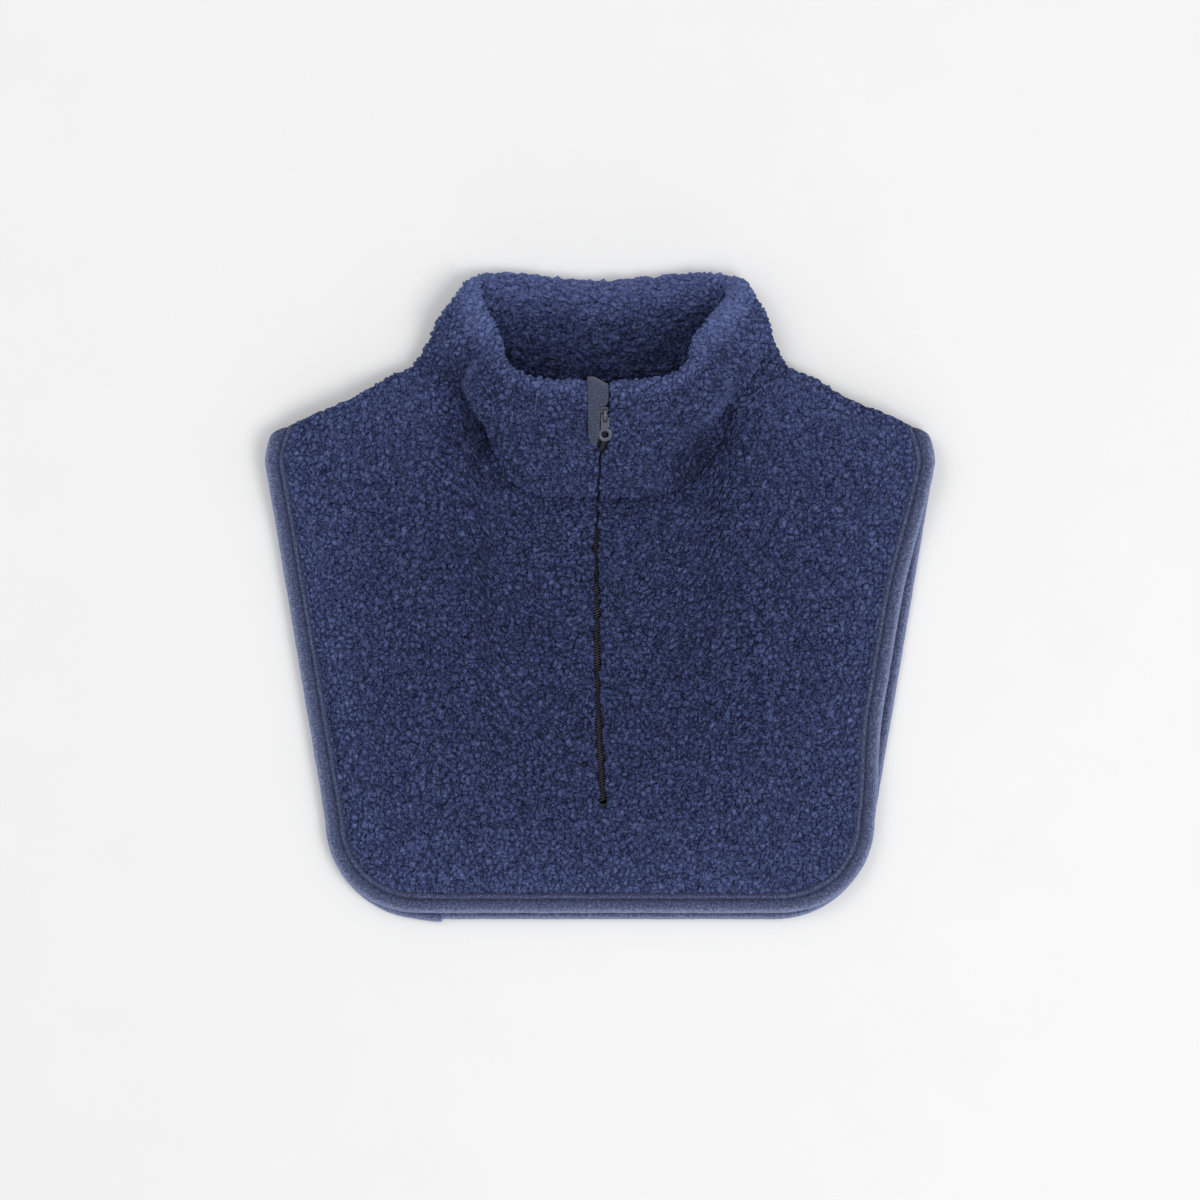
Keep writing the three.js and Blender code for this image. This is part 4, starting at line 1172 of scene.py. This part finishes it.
class Finish:
    """A material under way: its nodes, its shader and short ways to add and join nodes."""

    def __init__(self, name):
        self.material = bpy.data.materials.new(name)
        self.material.use_nodes = True
        self.tree = self.material.node_tree
        self.shader = self.tree.nodes["Principled BSDF"]

    def node(self, kind, inputs, **settings):
        """A new node with its settings and inputs. An input is a value or another node's socket."""
        made = self.tree.nodes.new(kind)
        for key, value in settings.items():
            setattr(made, key, value)
        for key, value in inputs.items():
            if isinstance(value, bpy.types.NodeSocket):
                self.tree.links.new(value, made.inputs[key])
            else:
                made.inputs[key].default_value = value
        return made

    def place(self, turn=(0, 0, 0)):
        """Object coordinates, turned."""
        coordinates = self.node("ShaderNodeTexCoord", {}).outputs["Object"]
        return self.node("ShaderNodeMapping", {"Vector": coordinates, "Rotation": turn}).outputs[0]

    def noise(self, size, detail=3, where=None, roughness=0.55):
        """Fractal noise whose patches are about as large as size, in metres."""
        settings = {"Vector": where or self.place(), "Scale": 1 / size}
        settings.update({"Detail": detail, "Roughness": roughness})
        return self.node("ShaderNodeTexNoise", settings).outputs["Fac"]

    def cells(self, size, where, feature="F1"):
        """Scattered points about size apart: distance to the nearest, or to the border with the next."""
        settings = {"Vector": where, "Scale": 1 / size}
        return self.node("ShaderNodeTexVoronoi", settings, feature=feature).outputs["Distance"]

    def bands(self, size, where, axis, **inputs):
        """Light and dark bands across an axis, each about as wide as size."""
        settings = {"Vector": where, "Scale": BAND_SCALE / size, **inputs}
        return self.node("ShaderNodeTexWave", settings, bands_direction=axis).outputs["Fac"]

    def maths(self, operation, a, b=0.0, c=0.0):
        """One sum of two or three sockets or numbers."""
        return self.node("ShaderNodeMath", {0: a, 1: b, 2: c}, operation=operation).outputs[0]

    def scaled(self, value, low, high, top=1.0, way="LINEAR"):
        """A value that runs from 0 to top, brought to run from low to high."""
        settings = {"Value": value, "From Max": top, "To Min": low, "To Max": high}
        return self.node("ShaderNodeMapRange", settings, interpolation_type=way).outputs[0]

    def ramp(self, value, stops):
        """Colours along a value: pairs of place and colour."""
        made = self.node("ShaderNodeValToRGB", {"Fac": value})
        band = made.color_ramp
        while len(band.elements) < len(stops):
            band.elements.new(0.5)
        for element, (place, colour) in zip(band.elements, stops):
            element.position, element.color = place, (*colour, 1)
        return made.outputs["Color"]

    def tinted(self, share, colour, tint):
        """A colour multiplied by a tint, by a share."""
        settings = {0: share, 6: colour, 7: (*tint, 1)}
        return self.node("ShaderNodeMix", settings, data_type="RGBA", blend_type="MULTIPLY").outputs[2]

    def attribute(self, name):
        """A number kept at each of the mesh's points."""
        return self.node("ShaderNodeAttribute", {}, attribute_name=name).outputs["Fac"]

    def finish(self, colour, relief=None, depth=0.0, roughness=None, **constants):
        """Joins colour, roughness and relief to the shader, and sets its constants."""
        self.tree.links.new(colour, self.shader.inputs["Base Color"])
        if relief is not None:
            bump = self.node("ShaderNodeBump", {"Height": relief, "Distance": depth, "Strength": 1.0})
            self.tree.links.new(bump.outputs[0], self.shader.inputs["Normal"])
        if roughness is not None:
            self.tree.links.new(roughness, self.shader.inputs["Roughness"])
        for key, value in constants.items():
            self.shader.inputs[key.replace("_", " ")].default_value = value
        return self.material


# A wave texture's scale for bands one metre wide.
BAND_SCALE = 0.16
# Marks in the finishes, from the finest up: single fibres, curls, partings between tufts, and patches.
FIBRE_MARK = 0.7 * MM
CURL_MARK = 1.25 * MM
CURL_WANDER = 2.0 * MM
PARTING_MARK = 3.2 * MM
UNEVEN_MARK = 6 * MM
PATCH_MARK = 22 * MM
MATTED_MARK = 1.5 * MM
YARN_MARK = 0.8 * MM
CAST_MARK = 0.6 * MM
MOULD_MARK = 0.9 * MM
FLOOR_MARK = 60 * MM


def pile_fleece(name, crevice_shade, body, tip, sheen_highlight):
    """Curly pile: painted shade in its crevices and partings and a painted highlight at its tips, from the
    pile height, with curls and fibres as relief.

    Where the painted light attribute is above 0, its tips get more painted highlight; below 0, painted shade.
    """
    f = Finish(name)
    pile, bloom = f.attribute("pile"), f.attribute("bloom")
    wander = f.node("ShaderNodeTexNoise", {"Vector": f.place(), "Scale": 1 / CURL_WANDER, "Detail": 2.0})
    strayed = f.node("ShaderNodeVectorMath", {0: wander.outputs["Color"], 1: (0.0029, 0.0029, 0.0029)},
                     operation="MULTIPLY").outputs[0]
    where = f.node("ShaderNodeVectorMath", {0: f.place(), 1: strayed}, operation="ADD").outputs[0]
    # Painted shade: the partings between tufts darken the colour as well as dent the relief.
    parted = f.cells(PARTING_MARK, where, "DISTANCE_TO_EDGE")
    parting = f.scaled(parted, -0.34, 0.03, 0.16, "SMOOTHSTEP")
    fibres = f.noise(FIBRE_MARK, 3, roughness=0.75)
    tufts = f.maths("SUBTRACT", 0.6, f.cells(CURL_MARK, where))
    grain = f.maths("MULTIPLY_ADD", tufts, 0.58, f.maths("MULTIPLY", fibres, 0.72))
    # The pile height paints shade into the crevices and a highlight on the tips.
    height = f.maths("ADD", f.maths("ADD", grain, parting), f.maths("MULTIPLY_ADD", pile, 0.52, -0.06))
    height = f.maths("MULTIPLY_ADD", height, 0.8, -0.12)
    height = f.maths("MULTIPLY_ADD", f.noise(UNEVEN_MARK, 2, where), 0.24, height)
    # The bloom attribute adds painted highlight and painted shade.
    height = f.maths("MULTIPLY_ADD", bloom, 0.21, height)
    colour = f.ramp(height, [(0.1, crevice_shade), (0.39, body), (0.7, tip), (1.0, sheen_highlight)])
    colour = f.tinted(f.maths("MULTIPLY", f.noise(PATCH_MARK, 3), 0.3), colour, (0.6, 0.65, 0.8))
    relief = f.maths("MULTIPLY_ADD", fibres, 0.7, f.maths("ADD", tufts, parting))
    return f.finish(colour, relief, 1.1 * MM, Roughness=0.95, Specular_IOR_Level=0.1,
                    Sheen_Weight=0.12, Sheen_Roughness=0.45, Sheen_Tint=(0.35, 0.48, 1.0, 1))


def brushed_fleece(name, dark, middle, light):
    """Short brushed fleece of the binding: flecks of matted fibres, with painted shade in its groove and under
    the pile, and a painted highlight along its edge."""
    f = Finish(name)
    matted = f.noise(MATTED_MARK, 4, roughness=0.7)
    fibres = f.noise(FIBRE_MARK, 2)
    fleck = f.maths("MULTIPLY_ADD", fibres, 0.9, f.maths("MULTIPLY_ADD", matted, 1.1, -0.5))
    # The bloom attribute lightens and darkens the flecks: painted highlight and painted shade.
    tone = f.maths("MULTIPLY_ADD", f.attribute("bloom"), 0.33, fleck)
    colour = f.ramp(tone, [(0.1, dark), (0.5, middle), (1.0, light)])
    relief = f.maths("ADD", matted, f.maths("MULTIPLY", fibres, 0.5))
    return f.finish(colour, relief, 0.4 * MM, Roughness=0.9, Specular_IOR_Level=0.15,
                    Sheen_Weight=0.3, Sheen_Roughness=0.4, Sheen_Tint=(0.5, 0.62, 1.0, 1))


def woven(name, dark, light, yarn):
    """A plain weave: warp and weft as crossed waves, with yarns of uneven tone."""
    f = Finish(name)
    where, stray = f.place(), {"Distortion": 1.2, "Detail Scale": 2.0}
    weave = f.maths("MULTIPLY", f.bands(yarn, where, "X", **stray), f.bands(yarn, where, "Y", **stray))
    speckle = f.noise(YARN_MARK, 3)
    tone = f.maths("MULTIPLY_ADD", speckle, 1.6, f.maths("MULTIPLY_ADD", weave, 0.35, -0.42))
    colour = f.ramp(tone, [(0.2, dark), (0.8, light)])
    return f.finish(colour, f.maths("MULTIPLY_ADD", speckle, 0.3, weave), 0.25 * MM, Roughness=0.8,
                    Specular_IOR_Level=0.3, Sheen_Weight=0.2)


def coil_nylon(name, dark, light):
    """Moulded nylon of the coil: a little glossy, with painted shade towards its underside from the pile value
    of each turn's level.
    """
    f = Finish(name)
    marks = f.noise(MOULD_MARK, 3)
    tone = f.maths("MULTIPLY_ADD", marks, 0.3, f.attribute("pile"))
    return f.finish(f.ramp(tone, [(0.84, dark), (1.15, light)]), marks, 0.04 * MM,
                    f.scaled(marks, 0.5, 0.65), Specular_IOR_Level=0.25)


def lacquered_zinc(name, dark, light):
    """Cast zinc under a thin slate lacquer: soft gloss, a fine cast grain and worn edges."""
    f = Finish(name)
    grain = f.noise(CAST_MARK, 4)
    wear = f.node("ShaderNodeNewGeometry", {}).outputs["Pointiness"]
    worn = f.maths("MULTIPLY_ADD", grain, 0.25, f.maths("MULTIPLY_ADD", wear, 3.0, -1.15))
    return f.finish(f.ramp(worn, [(0.35, dark), (0.62, light)]), grain, 0.02 * MM,
                    f.scaled(grain, 0.26, 0.42), Metallic=0.35, Coat_Weight=0.15, Coat_Roughness=0.3)


def thread(name, dark, light):
    """Twisted sewing thread: slanted turns of light and dark."""
    f = Finish(name)
    twist = f.bands(0.3 * MM, f.place((0, 0, 0.7)), "X")
    return f.finish(f.ramp(twist, [(0.2, dark), (0.8, light)]), twist, 0.05 * MM, Roughness=0.75,
                    Specular_IOR_Level=0.15)


def pale_floor(name):
    """The pale sheet that it lies on, with the faintest mottle."""
    f = Finish(name)
    mottle = f.noise(FLOOR_MARK, 4)
    return f.finish(f.ramp(mottle, [(0.2, (0.885, 0.885, 0.885)), (0.8, (0.9, 0.9, 0.9))]), Roughness=0.9,
                    Specular_IOR_Level=0.1)


pile_look = pile_fleece("curly_pile", crevice_shade=(0.007, 0.0095, 0.026), body=(0.037, 0.048, 0.126),
                        tip=(0.106, 0.137, 0.315), sheen_highlight=(0.18, 0.23, 0.5))
binding_look = brushed_fleece("brushed_binding", dark=(0.018, 0.023, 0.052),
                              middle=(0.057, 0.069, 0.140), light=(0.24, 0.28, 0.46))
tape_look = woven("zip_tape_weave", (0.008, 0.011, 0.024), (0.028, 0.034, 0.062), 0.6 * MM)
garage_look = woven("garage_weave", (0.016, 0.02, 0.044), (0.088, 0.106, 0.18), 0.7 * MM)
coil_look = coil_nylon("coil_nylon", (0.004, 0.0045, 0.009), (0.125, 0.112, 0.145))
metal_look = lacquered_zinc("lacquered_zinc", (0.04, 0.047, 0.075), (0.15, 0.165, 0.22))
stop_look = lacquered_zinc("dark_zinc", (0.008, 0.009, 0.014), (0.028, 0.029, 0.038))
thread_look = thread("sewing_thread", (0.012, 0.016, 0.036), (0.036, 0.045, 0.09))


def dress(piece, look, node, body="root"):
    """Gives a piece its finish, the node that it stands for and the body that it rides on."""
    piece.data.materials.clear()
    piece.data.materials.append(look)
    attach(piece, body)
    if node:
        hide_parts(node)
    return piece


scene = bpy.context.scene
camera = bpy.data.objects.new("camera", bpy.data.cameras.new("camera"))
scene.collection.objects.link(camera)
# The photograph's frame is FRAME_SIDE wide at FRAMED_LEVEL.
FRAME_SIDE = 720 * MM
FRAMED_LEVEL = 12 * MM
CAMERA_HEIGHT = 4.0
SENSOR_WIDTH = 36
camera.location = (0, -1.5 * MM, CAMERA_HEIGHT)
camera.data.sensor_width = SENSOR_WIDTH
camera.data.lens = SENSOR_WIDTH * (CAMERA_HEIGHT - FRAMED_LEVEL) / FRAME_SIDE
camera.data.clip_end = 50
scene.camera = camera

front = bib("front", across=352, up=212, name="front_pile")
back = bib("back", across=288, up=179, name="back_pile")
wall = collar(around=480, up=68, name="collar_pile")
front_pile = dress(front, pile_look, "front_panel")
back_pile = dress(back, pile_look, "back_panel")
collar_pile = dress(wall, pile_look, "collar")
edge = dress(binding("bound_edge"), binding_look, "edge_binding")
front_thread = dress(stitches("front", "front_stitches"), thread_look, None)
back_thread = dress(stitches("back", "back_stitches"), thread_look, None)
left_tape = dress(tape(-1, "left_tape"), tape_look, "zip_tape_left")
right_tape = dress(tape(1, "right_tape"), tape_look, "zip_tape_right")
dress(coil("zip_coils"), coil_look, "zip_chain")
dress(bottom_stop("bottom_stop"), stop_look, "zip_bottom_stop")
tab = dress(garage("garage_tab"), garage_look, "zip_garage")
dress(slider("slider"), metal_look, "zip_slider")
dress(puller("puller"), metal_look, "zip_puller", "puller")

FLOOR_SIDE = 6.0
bpy.ops.mesh.primitive_plane_add(size=FLOOR_SIDE, location=(0, 0, 0))
floor = bpy.context.object
floor.name = "floor"
floor.data.materials.append(pale_floor("pale_floor"))

world = bpy.data.worlds.new("studio")
scene.world = world
world.use_nodes = True
sky = world.node_tree.nodes["Background"]
sky.inputs["Color"].default_value = (1, 1, 1, 1)
sky.inputs["Strength"].default_value = 0.57
scene.view_settings.view_transform = "Standard"


LIT_PLACE = Vector((0, 0.05, 0))


def lamp(name, place, size, power):
    """A soft square light that shines on the collar's foot."""
    data = bpy.data.lights.new(name, "AREA")
    data.size, data.energy = size, power
    made = bpy.data.objects.new(name, data)
    made.location = place
    made.rotation_euler = (LIT_PLACE - Vector(place)).to_track_quat("-Z", "Y").to_euler()
    scene.collection.objects.link(made)


lamp("key", place=(1.4, -0.9, 2.6), size=1.6, power=39)
lamp("fill", place=(-1.4, 1.6, 2.4), size=1.8, power=21)
